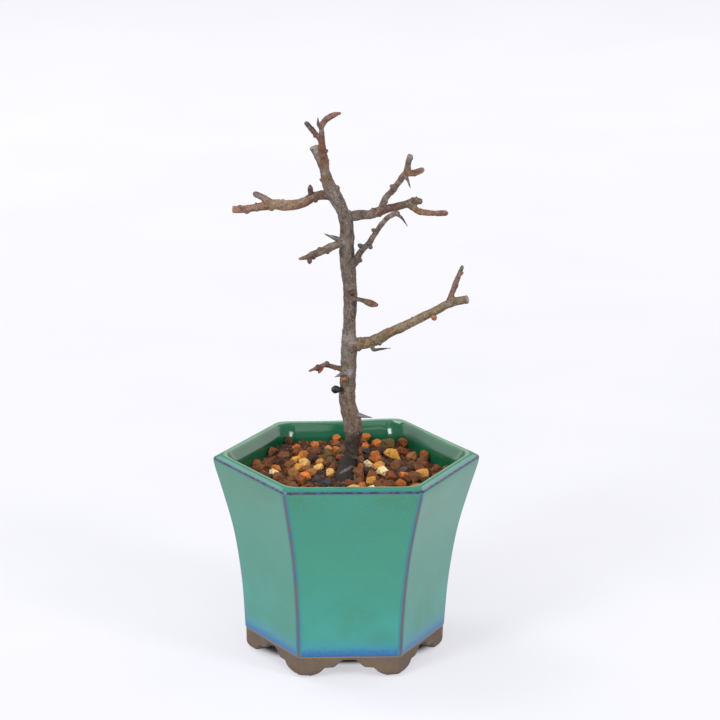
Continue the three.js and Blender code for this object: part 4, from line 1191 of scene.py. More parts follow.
# %% Colours of the bark
LIMB_COLOURS = {
    "trunk": [
        (59, "7E6C5C"), (85, "82705F"), (89, "867160"), (96, "7C695A"), (107, "7A6C5E"), (117, "857A70"),
        (123, "877D72"), (131, "78695C"), (139, "77695E"), (149, "6F6354"), (159, "7A6F61"),
        (167, "6D6156"), (175, "7D716A"), (181, "837469"), (185, "84684E"), (190, "8C5E40"),
        (195, "8E5C46"), (201, "875644"), (206, "875644")],
    "root": [(0, "211914"), (0.5, "261C16"), (1, "1E1612")],
    "pale_rootlet": [(0, "4A4038"), (0.4, "8A7A6C"), (1, "544A40")],
    "side_rootlet": [(0, "33271F"), (0.5, "6C4E40"), (1, "5C4230")],
    "ochre_rootlet": [(0, "3C3220"), (0.5, "746540"), (1, "403424")],
    "lower_right": [
        (0, "837A74"), (0.08, "8E714B"), (0.2, "95805C"), (0.4, "9B845C"), (0.6, "A08664"),
        (0.8, "987E5C"), (0.92, "8E765C"), (1, "8A7864")],
    "upper_left": [
        (0, "716052"), (0.1, "70503A"), (0.22, "7C563C"), (0.32, "96704E"), (0.45, "A88564"),
        (0.6, "AC886A"), (0.72, "966A48"), (0.82, "A47256"), (1, "AC7A60")],
    "upper_right": [
        (0, "706256"), (0.3, "6E5D50"), (0.4, "7E573C"), (0.5, "7C4834"), (0.65, "754E3A"),
        (0.8, "796046"), (1, "6C5C40")],
    "upright_shoot": [
        (0, "7C4D3A"), (0.15, "8C7E74"), (0.5, "8A7266"), (0.62, "937860"), (0.68, "B08254"),
        (0.8, "A28262"), (0.86, "8A7A74"), (1, "887C76")],
    "middle_right": [
        (0, "7C7064"), (0.2, "6E5E54"), (0.45, "6E635C"), (0.58, "7A6052"), (0.66, "866858"),
        (0.78, "8E7E76"), (0.95, "866A5A"), (1, "62483E")],
    "middle_left": [
        (0, "847A6E"), (0.4, "8C7962"), (0.7, "6B5644"), (0.85, "5E4C3C"), (0.93, "845C50"),
        (1, "A88478")],
    "high_fork": [(0, "AA876A"), (0.6, "90766A"), (1, "90746A")],
    "right_end": [(0, "8B693D"), (0.2, "9E7646"), (0.45, "AE764E"), (0.85, "966044"), (1, "8C5040")],
    "shoot_spur": [(0, "A87E56"), (0.5, "AA7250"), (1, "A87C60")],
    "lower_right_twig": [(0, "8A7056"), (0.4, "866552"), (0.8, "805C50"), (1, "5E4C46")],
    "lower_left_twig": [
        (0, "7E7358"), (0.25, "8E714A"), (0.55, "82573C"), (0.8, "86483A"), (1, "965C52")],
    "short_shoot": [
        (0, "665A52"), (0.35, "807470"), (0.5, "6E6244"), (0.72, "846E3C"), (0.85, "7C3826"),
        (1, "883E2E")],
    "top_right_shoot": [(0, "885D48"), (0.3, "9A523C"), (0.6, "9E452E"), (0.85, "8C3828"), (1, "AE5C48")],
    "top_left_shoot": [(0, "864C3C"), (0.5, "80443A"), (0.8, "66483C"), (1, "5A4A40")],
    "old_stub": [(0, "7A5C48"), (0.4, "8A7064"), (0.8, "9E8C80"), (1, "94847A")],
    "thorn": [(0, "7A6C62"), (0.5, "5E5048"), (1, "433836")],
    "pale_thorn": [(0, "8C817C"), (0.5, "A09896"), (1, "786E6A")],
}
CUT_COLOURS = {
    "upper_left": "DCC9A8",
    "lower_right": "9C8E7E",
    "upright_shoot": "82786E",
    "upper_right": "5A5038",
    "old_stub": "9C8A7C",
}
PALE_THORNS = (5, 6)

# The damp foot of the trunk: its edge is higher on the right
DAMP_COLOUR = "241006"
DAMP_BELOW = 85.6
DAMP_SLOPE = 0.7
DAMP_MIDDLE = 2
DAMP_WIDTH = 2.6
DAMP_WAVE = 0.9
DAMP_WAVE_SCALE = 0.8
DAMP_PATCHES = (0.84, 0.3)
DAMP_PATCH_SCALE = 1.1
DRY_OVER = 3
SPOT_CORE = 1.5

# Spots of their own colour, smooth film at the collars of branches and stains below buds: place, radius,
# colour and share
SPOTS = [
    ((1.8, -0.6, 121.6), 2.2, "A39C9E", 0.75),
    ((-2, -3.6, 160.3), 1.9, "A39C9E", 0.75),
    ((0.4, -1, 109.8), 2.1, "A8A2A6", 0.8),
    ((1.8, -1.2, 109), 0.7, "5A5054", 0.8),
    ((2.2, -1.8, 135.6), 1.8, "41332A", 0.8),
    ((0.9, -2.2, 140.5), 1.5, "74483A", 0.7),
]
print(len(LIMB_COLOURS), "limb colours")

# %% [markdown]
# ## Limbs as tubes
#
# Along each limb the curve is sampled every half millimetre, with a frame that turns no more than it
# must. The frame gives each limb its own place to put patterns in: two coordinates across the limb and
# one along it.

# %% Limbs as tubes
SAMPLE_PITCH = 0.5
GNARL = 0.09
GNARL_LENGTH = 3.4
SIDE_LENGTH = 0.42
FIRST_SIDE = (1.0, 0.2, 0.1)
# The last rings of a round end: shares of its radius, across and ahead
ROUND_END = [(0.87, 0.5), (0.5, 0.87), (0.1, 1)]
# A knob: shares of its reach and of its radius
KNOB_PROFILE = [(0, 0.9), (0.6, 0.85), (1, 1)]
KNOB_FORWARD = -0.4
KNOB_SHADE_YOUNG = 0.68
KNOB_SHADE_OLD = 0.92
OLD_RADIUS = 2.2


def sample_limb(name, line, end):
    """A limb as rows: centre, radius, distance along it, tangent and two sides, with its colours."""
    rows = smooth_line(line, SAMPLE_PITCH)
    centre, radius = rows[:, :3], rows[:, 3]
    tangent = np.gradient(centre, axis=0)
    tangent /= np.linalg.norm(tangent, axis=1, keepdims=True)
    along = np.concatenate([[0], np.cumsum(np.linalg.norm(np.diff(centre, axis=0), axis=1))])
    side = np.array(FIRST_SIDE)
    sides = []
    for direction in tangent:
        side = side - direction * side.dot(direction)
        side /= np.linalg.norm(side)
        sides.append(side)
    sides = np.array(sides)
    gnarl = [noise.noise(Vector((centre[0][0], centre[0][2], s / GNARL_LENGTH))) for s in along]
    radius = radius * (1 + GNARL * np.array(gnarl))
    at, colours = zip(*LIMB_COLOURS[name.rstrip("_0123456789")])
    measure = centre[:, 2] if name == "trunk" else along / along[-1]
    colour = np.stack([np.interp(measure, at, [linear(c)[i] for c in colours]) for i in range(3)], axis=1)
    return {"name": name, "end": end, "centre": centre, "radius": radius, "along": along, "colour": colour,
            "tangent": tangent, "side": sides, "other": np.cross(tangent, sides)}


def tube(limb, step):
    """Points and faces of a closed tube round a limb, its rings a number of samples apart."""
    keep = sorted({*range(0, len(limb["centre"]), step), len(limb["centre"]) - 1})
    sides = max(8, round(2 * math.pi * limb["radius"].max() / SIDE_LENGTH))
    angle = np.linspace(0, 2 * math.pi, sides, endpoint=False)
    shape = [(i, 1, 0) for i in keep]
    if limb["end"] == "tip":
        shape += [(keep[-1], share, ahead) for share, ahead in ROUND_END]
    rings = []
    for i, share, ahead in shape:
        circle = np.outer(np.cos(angle), limb["side"][i]) + np.outer(np.sin(angle), limb["other"][i])
        middle = limb["centre"][i] + limb["tangent"][i] * limb["radius"][i] * ahead
        rings.append(middle + limb["radius"][i] * share * circle)
    points = np.concatenate(rings)
    faces = grid_faces(len(rings), sides)
    faces += [tuple(reversed(range(sides))), tuple(range(len(points) - sides, len(points)))]
    return points, faces


def knob_limb(limb, share, bearing, radius, reach):
    """A worn knob: a stump with a neck and a round head, a little darker than its limb."""
    i = int(share * (len(limb["centre"]) - 1))
    turn = math.radians(bearing)
    out = np.array([math.cos(turn), KNOB_FORWARD, math.sin(turn)])
    out -= limb["tangent"][i] * out.dot(limb["tangent"][i])
    out /= np.linalg.norm(out)
    line = [(*(limb["centre"][i] + out * reach * part), radius * width) for part, width in KNOB_PROFILE]
    knob = sample_limb(limb["name"], line, "tip")
    young = limb["radius"][i] < OLD_RADIUS
    knob["colour"][:] = limb["colour"][i] * (KNOB_SHADE_YOUNG if young else KNOB_SHADE_OLD)
    return knob


limbs = [sample_limb("trunk", TRUNK, "tip")]
limbs += [sample_limb(f"root_{i}", line, "tip") for i, line in enumerate(ROOTS)]
limbs += [sample_limb(name, line, "cut" if name in CUT_COLOURS else "tip")
          for name, line in (BRANCHES | ROOTLETS | TWIGS).items()]
by_name = {limb["name"]: limb for limb in limbs}
knobs = [knob_limb(by_name[name], *row) for name, rows in KNOBS.items() for row in rows]
wood_limbs = limbs + knobs
thorn_limbs = [sample_limb(f"{'pale_thorn' if i in PALE_THORNS else 'thorn'}_{i}", line, "tip")
               for i, line in enumerate(THORNS)]
total = sum(limb["along"][-1] for limb in limbs)
print(len(limbs), "limbs,", len(knobs), "knobs,", round(total), "mm long in all")

# %% [markdown]
# ## One body of wood
#
# Where two limbs meet, the bark runs from one to the other in a small hollow. Separate tubes would only
# cross there. So all tubes are put in one mesh, and the Remesh modifier wraps them in one skin of small
# squares, which closes the crossings. A few rounds of smoothing take the steps out of it.

# %% One body of wood
VOXEL = 0.3
SMOOTH_ROUNDS = 4
SMOOTH_FACTOR = 0.5
RING_STEP = 2


def joined(parts):
    """Several lists of points and faces as one."""
    points, faces, start = [], [], 0
    for part_points, part_faces in parts:
        points.append(part_points)
        faces += [tuple(index + start for index in face) for face in part_faces]
        start += len(part_points)
    return np.concatenate(points), faces


def one_skin(parts):
    """Wraps crossing tubes in one closed mesh of small squares."""
    mesh = mesh_of("tubes", *joined(parts))
    holder = place_piece("tubes", mesh)
    remesh = holder.modifiers.new("skin", "REMESH")
    remesh.mode = "VOXEL"
    remesh.voxel_size = VOXEL * MM
    smoothing = holder.modifiers.new("smoothing", "SMOOTH")
    smoothing.iterations = SMOOTH_ROUNDS
    smoothing.factor = SMOOTH_FACTOR
    graph = bpy.context.evaluated_depsgraph_get()
    skin = bpy.data.meshes.new_from_object(holder.evaluated_get(graph))
    bpy.data.objects.remove(holder)
    return skin


wood = one_skin([tube(limb, RING_STEP) for limb in wood_limbs])
print("wood", len(wood.polygons), "squares")

# %% [markdown]
# ## Bark relief and where each point belongs
#
# For every point of the skin the nearest limb is looked up, by its distance from the limb's surface. That
# gives the point its place across and along that limb, its colour, and how young the wood is there. The
# relief is noise that is stretched along the limb, stronger on old wood.

# %% Where each point of the skin belongs
BLOCK = 4000
LIMB_SPREAD = 37
CUT_FROM = 0.22
CUT_OVER = 0.15


def belongings(points, limbs):
    """For each point: place across and along its limb, colour, radius, whether it is cut, and its limb."""
    keys = ("centre", "radius", "tangent", "side", "other", "colour", "along")
    fields = {key: np.concatenate([limb[key] for limb in limbs]) for key in keys}
    centre, radius = fields["centre"], fields["radius"]
    owner = np.concatenate([np.full(len(limb["centre"]), i) for i, limb in enumerate(limbs)])
    nearest = np.empty(len(points), int)
    for start in range(0, len(points), BLOCK):
        block = points[start:start + BLOCK]
        away = np.linalg.norm(block[:, None, :] - centre[None, :, :], axis=2) - radius[None, :]
        nearest[start:start + BLOCK] = away.argmin(axis=1)
    offset = points - centre[nearest]
    u = (offset * fields["side"][nearest]).sum(axis=1)
    v = (offset * fields["other"][nearest]).sum(axis=1)
    ahead = (offset * fields["tangent"][nearest]).sum(axis=1)
    place = np.stack([u + LIMB_SPREAD * owner[nearest], v, fields["along"][nearest] + ahead], axis=1)
    length = np.array([limb["along"][-1] for limb in limbs])[owner[nearest]]
    is_cut = np.array([limb["end"] == "cut" for limb in limbs])[owner[nearest]]
    cut = is_cut * np.clip((place[:, 2] - length + CUT_FROM) / CUT_OVER, 0, 1)
    faces = np.array([linear(CUT_COLOURS.get(limb["name"], BLACK))[:3] for limb in limbs])[owner[nearest]]
    colour = fields["colour"][nearest] * (1 - cut[:, None]) + faces * cut[:, None]
    return place, colour, radius[nearest], cut, owner[nearest]


def spotted(points, colour, owner, limbs):
    """Paints the damp foot of the trunk and the spots. Returns the colours and how dry each point is."""
    height = points[:, 2] - DAMP_SLOPE * (points[:, 0] - DAMP_MIDDLE)
    height += DAMP_WAVE * np.array([noise.noise(Vector(p * DAMP_WAVE_SCALE)) for p in points])
    on_trunk = np.array([limb["name"] == "trunk" for limb in limbs])[owner]
    wet = on_trunk * np.clip((DAMP_BELOW - height) / DAMP_WIDTH + 0.5, 0, 1)
    patches = np.array([noise.noise(Vector(p * DAMP_PATCH_SCALE)) for p in points])
    wet *= DAMP_PATCHES[0] + DAMP_PATCHES[1] * patches
    colour = colour * (1 - wet[:, None]) + np.array(linear(DAMP_COLOUR)[:3]) * wet[:, None]
    for place, radius, spot, most in SPOTS:
        away = np.linalg.norm(points - place, axis=1) / radius
        share = (most * np.clip(SPOT_CORE - SPOT_CORE * away, 0, 1))[:, None]
        colour = colour * (1 - share) + np.array(linear(spot)[:3]) * share
    return colour, np.clip((height - DAMP_BELOW) / DRY_OVER, 0, 1)


RELIEF_OLD = 0.22
RELIEF_YOUNG = 0.09
WRINKLES = 0.11
RIDGE_SHARE = 0.6
ROUGH_SHARE = 0.5


def wave(place, across, along, shift=(0, 0)):
    """Noise at a place on a limb, with its own count of waves to a millimetre across and along it."""
    return noise.noise(Vector((place[0] * across + shift[0], place[1] * across + shift[1], place[2] * along)))


def bark_relief(points, normals, places, radius, cut):
    """Moves each point along its normal by the relief of the bark."""
    old = np.clip(radius / OLD_RADIUS, 0, 1) ** 2
    moved = points.copy()
    for i, place in enumerate(places):
        ridges = wave(place, 0.8, 0.35)
        lumps = wave(place, 0.4, 0.4, (9, 0))
        rough = wave(place, 1.8, 1.4)
        wrinkles = wave(place, 0.15, 1.6, (0, 5)) * WRINKLES * (1 - old[i])
        strength = RELIEF_YOUNG + (RELIEF_OLD - RELIEF_YOUNG) * old[i]
        relief = strength * (RIDGE_SHARE * ridges + lumps + ROUGH_SHARE * rough) + wrinkles
        moved[i] += normals[i] * (1 - cut[i]) * relief
    return moved


def dress_wood(mesh, limbs):
    """Gives the skin its relief and stores what the bark material reads."""
    points = vertices_of(mesh)
    normals = np.zeros(len(points) * 3, np.float32)
    mesh.vertex_normals.foreach_get("vector", normals)
    place, colour, radius, cut, owner = belongings(points, limbs)
    colour, dry = spotted(points, colour, owner, limbs)
    moved = bark_relief(points, normals.reshape(-1, 3), place, radius, cut)
    mesh.vertices.foreach_set("co", (moved * MM).ravel())
    store(mesh, "bark_place", "FLOAT_VECTOR", place)
    store(mesh, "bark_colour", "FLOAT_COLOR", np.concatenate([colour, np.ones((len(colour), 1))], axis=1))
    store(mesh, "old_wood", "FLOAT", np.clip(radius / OLD_RADIUS, 0, 1) ** 2)
    store(mesh, "cut_wood", "FLOAT", cut)
    store(mesh, "dry_wood", "FLOAT", dry)
    mesh.polygons.foreach_set("use_smooth", [True] * len(mesh.polygons))
    mesh.update()


dress_wood(wood, wood_limbs)

# %% [markdown]
# ## The bark's material
#
# Quince bark is thin. It is streaked along the limb by the fibres below, silvery where its outer film is
# whole, brown where that has come off, and dark in its cracks. The streaks follow each limb because the
# noise reads the place stored in the mesh. Cut ends show the bare wood.

# %% The bark's material
def bark_material():
    """Thin grey-brown bark over red-brown shoots, with streaks of a few tenths of a millimetre."""
    material, tree, shader = new_material("quince_bark", {"IOR": 1.45})
    base = add_node(tree, "ShaderNodeAttribute", {"attribute_name": "bark_colour"}).outputs["Color"]
    place = add_node(tree, "ShaderNodeAttribute", {"attribute_name": "bark_place"}).outputs["Vector"]
    old, cut, dry = (add_node(tree, "ShaderNodeAttribute", {"attribute_name": name}).outputs["Fac"]
                     for name in ("old_wood", "cut_wood", "dry_wood"))

    def field(scale, detail, stretch=(1.0, 1.0, 1.0)):
        """Noise in a limb's own place: lumps to a millimetre, stretched across and along the limb."""
        stretched = add_node(tree, "ShaderNodeVectorMath", {"operation": "MULTIPLY"}, {0: place, 1: stretch})
        return add_node(tree, "ShaderNodeTexNoise", {},
                        {"Vector": stretched, "Scale": scale, "Detail": detail, "Roughness": 0.62})

    fibres = field(1.1, 5.0, (1.0, 1.0, 0.3))
    patches = field(0.24, 5.0)
    mottle = field(0.8, 4.0)
    grit = field(2.6, 3.0)
    wrinkles = field(1.0, 3.0, (0.2, 0.2, 1.9))
    # whole film is silvery, worn film is brown, and dry bark has a rosy mottle
    filmed = paint_where(tree, patches, 0.5, 0.64, base, "A59C94", 0.6, "LINEAR")
    browned = paint_where(tree, patches, 0.47, 0.34, filmed, "6A5A3E", 0.65, "LINEAR")
    rosy = paint_where(tree, mottle, 0.52, 0.66, browned, "8E6252", 0.5, "LINEAR")
    dressed = add_node(tree, "ShaderNodeMix", OF_COLOURS, {0: dry, 6: base, 7: rosy}).outputs[2]
    # cracks along the fibres, wrinkles round young shoots, and fine grit
    young = add_node(tree, "ShaderNodeMapRange", {},
                     {"Value": old, "From Min": 1.0, "From Max": 0.0, "To Max": 0.75})
    colour = darken_by(tree, fibres, [(0.32, "6E645E"), (0.54, "FFFFFF")], 0.65, dressed)
    colour = darken_by(tree, wrinkles, [(0.34, "54443A"), (0.5, "FFFFFF")], young, colour)
    colour = darken_by(tree, mottle, [(0.36, "7C726A"), (0.5, "FFFFFF")], 0.6, colour)
    colour = darken_by(tree, grit, [(0.36, "7C726A"), (0.52, "FFFFFF")], 0.6, colour)
    colour = add_node(tree, "ShaderNodeMix", OF_COLOURS, {0: cut, 6: colour, 7: base}).outputs[2]
    dull = add_node(tree, "ShaderNodeMapRange", {}, {"Value": old, "To Min": 0.5, "To Max": 0.8})
    set_inputs(shader, {"Roughness": dull})
    height = add_node(tree, "ShaderNodeMath", {"operation": "MULTIPLY_ADD"}, {0: grit, 1: 0.5, 2: fibres})
    dress_shader(shader, colour, height, 0.6, 0.35)
    return material


bark = bark_material()
finish_piece(place_piece("tree_wood", wood, [bark]), "tree")

# %% [markdown]
# ## Thorns
#
# A quince thorn is a short shoot that ends in a hard point. The skin's squares are too large for such
# points, so the thorns are tubes of their own, rooted in the wood.

# %% Thorns
THORN_POINT = 0.12


def thorn_mesh():
    """All thorns, each tapering to a fine point."""
    parts = []
    for limb in thorn_limbs:
        share = limb["along"] / limb["along"][-1]
        limb["radius"] = limb["radius"] * (1 - share**3) + THORN_POINT * share**3
        parts.append(tube(limb, 1))
    mesh = mesh_of("thorns", *joined(parts))
    dress_wood(mesh, thorn_limbs)
    return mesh


finish_piece(place_piece("tree_thorns", thorn_mesh(), [bark]), "tree")

# %% [markdown]
# ## Buds
#
# Next year's flowers and shoots wait in round buds with overlapping scales, a large one here and there
# and a small one at each node. A bud is a pointed oval whose radius steps down at the edge of each scale,
# and each next scale starts on the other side.

# %% Buds
# Each bud: root, tip, radius, shape and colour
BUDS = [
    ((-13.9, 3.2, 175.4), (-14.4, 2.4, 180.8), 1.05, "blunt", "5C3C32"),
    ((-14.8, -12, 157.4), (-15.1, -12.8, 154.4), 0.95, "blunt", "7C4838"),
    ((-9.6, -6.3, 113.6), (-11.3, -7.6, 111.2), 0.8, "pointed", "9C4238"),
    ((0.9, -0.8, 139.8), (1.6, -3.3, 141.5), 1.05, "blunt", "6A3026"),
    ((-0.5, 0, 107), (-1.8, -3.4, 107.7), 1.2, "blunt", "9E6C4A"),
    ((-1.9, -0.6, 103), (-6, -3.9, 103.9), 1.5, "knob", "181610"),
    ((30.3, -11.7, 135.2), (31.6, -13, 132.9), 1.1, "blunt", "AE7252"),
    ((14.7, -5.8, 126.4), (15, -7.6, 128.5), 0.95, "blunt", "A06A4C"),
    ((39.8, -12, 149.6), (41.7, -12, 151), 0.7, "pointed", "A0625A"),
    ((-8.3, 0.2, 182.5), (-11.1, -0.4, 183.4), 1, "pointed", "604638"),
    ((-9.9, -2.6, 194.2), (-8.1, -3.6, 194.8), 0.8, "blunt", "7E4E3C"),
    ((11.5, -4.2, 123.6), (11.6, -5.4, 121.2), 0.95, "blunt", "726852"),
    ((-33.6, 8, 171), (-34.3, 7.4, 173), 0.65, "pointed", "8C5040"),
    ((-0.5, 1, 161.6), (-0.1, 3.8, 162.8), 0.85, "blunt", "74584A"),
    ((0.3, 4, 117.2), (-1.5, 6.6, 118.4), 0.9, "pointed", "7E5444"),
]
# Each shape: shares of the length and of the radius
BUD_SHAPES = {
    "pointed": [(0, 0.75), (0.25, 1), (0.5, 0.96), (0.75, 0.7), (0.9, 0.38), (1, 0.06)],
    "blunt": [(0, 0.8), (0.3, 0.96), (0.58, 1), (0.8, 0.84), (0.93, 0.52), (1, 0.08)],
    "knob": [
        (0, 0.5), (0.3, 0.52), (0.38, 0.74), (0.5, 0.95), (0.66, 1), (0.82, 0.87), (0.94, 0.5),
        (1, 0.08)],
}
BUD_RINGS = 19
BUD_SIDES = 14
SCALES_ALONG = 2.6
SCALE_STEP = 0.14
NODE_PITCH = 5.2
NODE_SEED = 7331
NODE_SHADE = 0.7
NODE_JITTER = 0.3
NODE_STEP = 0.01
BUD_HEIGHTS = (-0.42, 1.4)
BUD_SEAT = 0.4
BUD_OUT = 0.6
BUD_LENGTH = 0.8
BUD_RADIUS = 0.42
BUD_GROWTH = 0.25
BUD_SIZE = 0.85
LINE_STEPS = 200


def bud_shape(root, tip, radius, shape):
    """Points and faces of one bud, and for each point how far up its scale it is."""
    root, tip = np.array(root, float), np.array(tip, float)
    axis = (tip - root) / np.linalg.norm(tip - root)
    side = np.cross(axis, [0.3, 0.2, 0.93])
    side /= np.linalg.norm(side)
    other = np.cross(axis, side)
    angle = np.linspace(0, 2 * math.pi, BUD_SIDES, endpoint=False)
    at, swell = zip(*BUD_SHAPES[shape])
    points, scales = [], []
    for share in np.linspace(0, 1, BUD_RINGS):
        scale = (share * SCALES_ALONG + 0.5 * np.cos(angle) * (1 - share)) % 1
        reach = radius * np.interp(share, at, swell) * (1 + SCALE_STEP * (scale - 0.5))
        points.append(root + (tip - root) * share + np.outer(reach * np.cos(angle), side)
                      + np.outer(reach * np.sin(angle), other))
        scales.append(scale)
    last = (BUD_RINGS - 1) * BUD_SIDES
    faces = grid_faces(BUD_RINGS, BUD_SIDES)
    faces += [tuple(reversed(range(BUD_SIDES))), tuple(range(last, last + BUD_SIDES))]
    return np.concatenate(points), faces, np.concatenate(scales)


def node_buds(line, draw):
    """Root, tip, radius and shape of the small buds along a branch, one to each side in turn."""
    rows = np.array(line, float)
    last = len(rows) - 1
    fine = np.array([span_point(rows, last * i / LINE_STEPS)[:3] for i in range(LINE_STEPS + 1)])
    count = int(np.linalg.norm(np.diff(fine, axis=0), axis=1).sum() / NODE_PITCH)
    buds = []
    for i in range(1, count + 1):
        place = (i + NODE_JITTER * (draw() - 1)) / (count + 0.5) * last
        centre = span_point(rows, place)[:3]
        before, after = max(place - NODE_STEP, 0), min(place + NODE_STEP, last)
        ahead = span_point(rows, after)[:3] - span_point(rows, before)[:3]
        ahead /= np.linalg.norm(ahead)
        side = np.array([0, -1 if i % 2 else 1, BUD_HEIGHTS[0] + BUD_HEIGHTS[1] * draw()])
        side -= ahead * side.dot(ahead)
        side /= np.linalg.norm(side)
        radius = rows[round(place)][3]
        root = centre + side * radius * BUD_SEAT
        tip = root + side * (radius * BUD_OUT + BUD_LENGTH) + ahead * BUD_LENGTH
        buds.append((root, tip, (BUD_RADIUS + radius * BUD_GROWTH) * BUD_SIZE, "pointed"))
    return buds


# %% The buds' material and mesh
def bud_material():
    """Bud scales: thin, red-brown, with a dull shine, darker where one comes out from under the next."""
    material, tree, shader = new_material("bud_scales", {"IOR": 1.45, "Roughness": 0.45})
    base = add_node(tree, "ShaderNodeAttribute", {"attribute_name": "bark_colour"}).outputs["Color"]
    scale = add_node(tree, "ShaderNodeAttribute", {"attribute_name": "bud_scale"}).outputs["Fac"]
    mottle = add_node(tree, "ShaderNodeTexNoise", {},
                      {"Vector": in_millimetres(tree), "Scale": 1.4, "Detail": 4.0})
    scaled = darken_by(tree, scale, [(0.0, "6E5E56"), (0.35, "FFFFFF")], 0.6, base)
    mottled = darken_by(tree, mottle, [(0.35, "8A827C"), (0.6, "FFFFFF")], 0.7, scaled)
    dress_shader(shader, mottled, mottle, 0.4, 0.15)
    return material


def bud_mesh():
    """All buds in one mesh. A bud without a colour of its own is darker than the limb that it sits on."""
    draw = seeded_draw(NODE_SEED)
    buds = list(BUDS)
    for line in BRANCHES.values():
        buds += node_buds(line, draw)
    shapes = [bud_shape(*bud[:4]) for bud in buds]
    mesh = mesh_of("buds", *joined([(points, faces) for points, faces, _ in shapes]))
    colour = belongings(vertices_of(mesh), wood_limbs)[1] * NODE_SHADE
    per_bud = len(colour) // len(buds)
    for i, bud in enumerate(BUDS):
        colour[i * per_bud:(i + 1) * per_bud] = linear(bud[4])[:3]
    store(mesh, "bark_colour", "FLOAT_COLOR", np.concatenate([colour, np.ones((len(colour), 1))], axis=1))
    store(mesh, "bud_scale", "FLOAT", np.concatenate([scales for _, _, scales in shapes]))
    print(len(buds), "buds")
    return mesh


finish_piece(place_piece("tree_buds", bud_mesh(), [bud_material()]), "tree")

# %% [markdown]
# ## Lenticels
#
# The bark breathes through small corky warts, the lenticels. They are a quarter to half a millimetre
# across and paler than the bark, and give it its freckles. Here the rule is only that they lie scattered
# on the skin, so they are scattered by Distribute Points on Faces and each is one small flattened ball.

# %% Lenticels
LENTICEL_DENSITY = 0.3
LENTICEL_RADIUS = (0.13, 0.3)
LENTICEL_FLATNESS = 0.45
LENTICELS_FROM = 86
LENTICEL_SEED = 3


def cork_material():
    """Pale cork of the lenticels."""
    material, tree, shader = new_material("lenticel_cork", {"IOR": 1.45, "Roughness": 0.9})
    grain = add_node(tree, "ShaderNodeTexNoise", {},
                     {"Vector": in_millimetres(tree), "Scale": 0.9, "Detail": 2.0})
    tone = add_node(tree, "ShaderNodeValToRGB",
                    {"stops": [(0.35, "7C6C5C"), (0.5, "94877A"), (0.65, "A89C90")]}, {"Fac": grain})
    darker = add_node(tree, "ShaderNodeMix", OF_COLOURS, {0: STUDIO_SHARE, 6: tone, 7: BLACK}).outputs[2]
    set_inputs(shader, {"Base Color": darker})
    return material


def lenticel_tree(material):
    """Small flattened balls, scattered on a skin."""
    tree, size = new_geometry_tree("scattering_lenticels", {
        "Density": "NodeSocketFloat", "Smallest": "NodeSocketFloat", "Largest": "NodeSocketFloat",
        "Seed": "NodeSocketInt"})
    place = add_node(tree, "GeometryNodeInputPosition")
    height = add_node(tree, "ShaderNodeSeparateXYZ", {}, {0: place}).outputs["Z"]
    dry = add_node(tree, "FunctionNodeCompare", {"operation": "GREATER_THAN"},
                   {0: height, 1: LENTICELS_FROM * MM})
    points = add_node(tree, "GeometryNodeDistributePointsOnFaces", {}, {
        "Mesh": size["Geometry"], "Selection": dry, "Density": size["Density"], "Seed": size["Seed"]})
    radius = add_node(tree, "FunctionNodeRandomValue", {},
                      {2: size["Smallest"], 3: size["Largest"], "Seed": size["Seed"]}).outputs[1]
    flat = add_node(tree, "ShaderNodeVectorMath", {"operation": "SCALE"},
                    {0: (1.0, 1.0, LENTICEL_FLATNESS), "Scale": radius})
    ball = add_node(tree, "GeometryNodeMeshIcoSphere", {}, {"Radius": 1.0, "Subdivisions": 1})
    laid = add_node(tree, "GeometryNodeInstanceOnPoints", {}, {
        "Points": points, "Instance": ball, "Rotation": points.outputs["Rotation"], "Scale": flat})
    close_tree(tree, laid, material)
    return tree


lenticels = grown_mesh(wood.copy(), lenticel_tree(cork_material()), {
    "Density": LENTICEL_DENSITY / MM**2, "Seed": LENTICEL_SEED,
    "Smallest": LENTICEL_RADIUS[0] * MM, "Largest": LENTICEL_RADIUS[1] * MM})
lenticels.polygons.foreach_set("use_smooth", [True] * len(lenticels.polygons))
finish_piece(place_piece("tree_lenticels", lenticels), "tree")

# %% [markdown]
# ## Laying the grains
#
# Now the trunk is known, the grains can lie against it. They are grown on their places, pushed back
# inside the walls and out of the stem, and so touch both without cutting into them.

# %% Laying the grains
CRUMB_SHAPES = 10
CRUMB_CORNERS = 9
CRUMB_RADIUS = (0.3, 1.0)
CRUMB_SPACING = 1.3
CRUMB_TONES = 0.6
CRUMB_DENSITY = 900000.0
CRUMBS_WHERE_UP = 0.4
FULL_TURN = 6.3
TONE_SEED = 5
STEM_ROOM = 0.35
CRUMB_SEED = 11
STEM_GAP = 0.15
WALL_GAP = 0.05
STEM_BELOW = 12
SHAPE_SEED = 401
CRUMB_SHAPE_SEED = 402
# A grain's length, width and height as shares of its radius, its share of chance in each, and its tilt
GRAIN_STRETCH = (1, 0.92, 0.78)
STRETCH_SPREAD = 0.25
GRAIN_TILT = 1.2

stems = limbs[:1 + len(ROOTS)]


def from_stems(place):
    """Distance of a grain's middle from the skin of the trunk or a root."""
    x, y, radius, rise, _ = place
    middle = np.array([x, y, soil_height(x, y) - radius * GRAIN_SINK + rise])
    return min((np.linalg.norm(limb["centre"] - middle, axis=1) - limb["radius"]).min() for limb in stems)


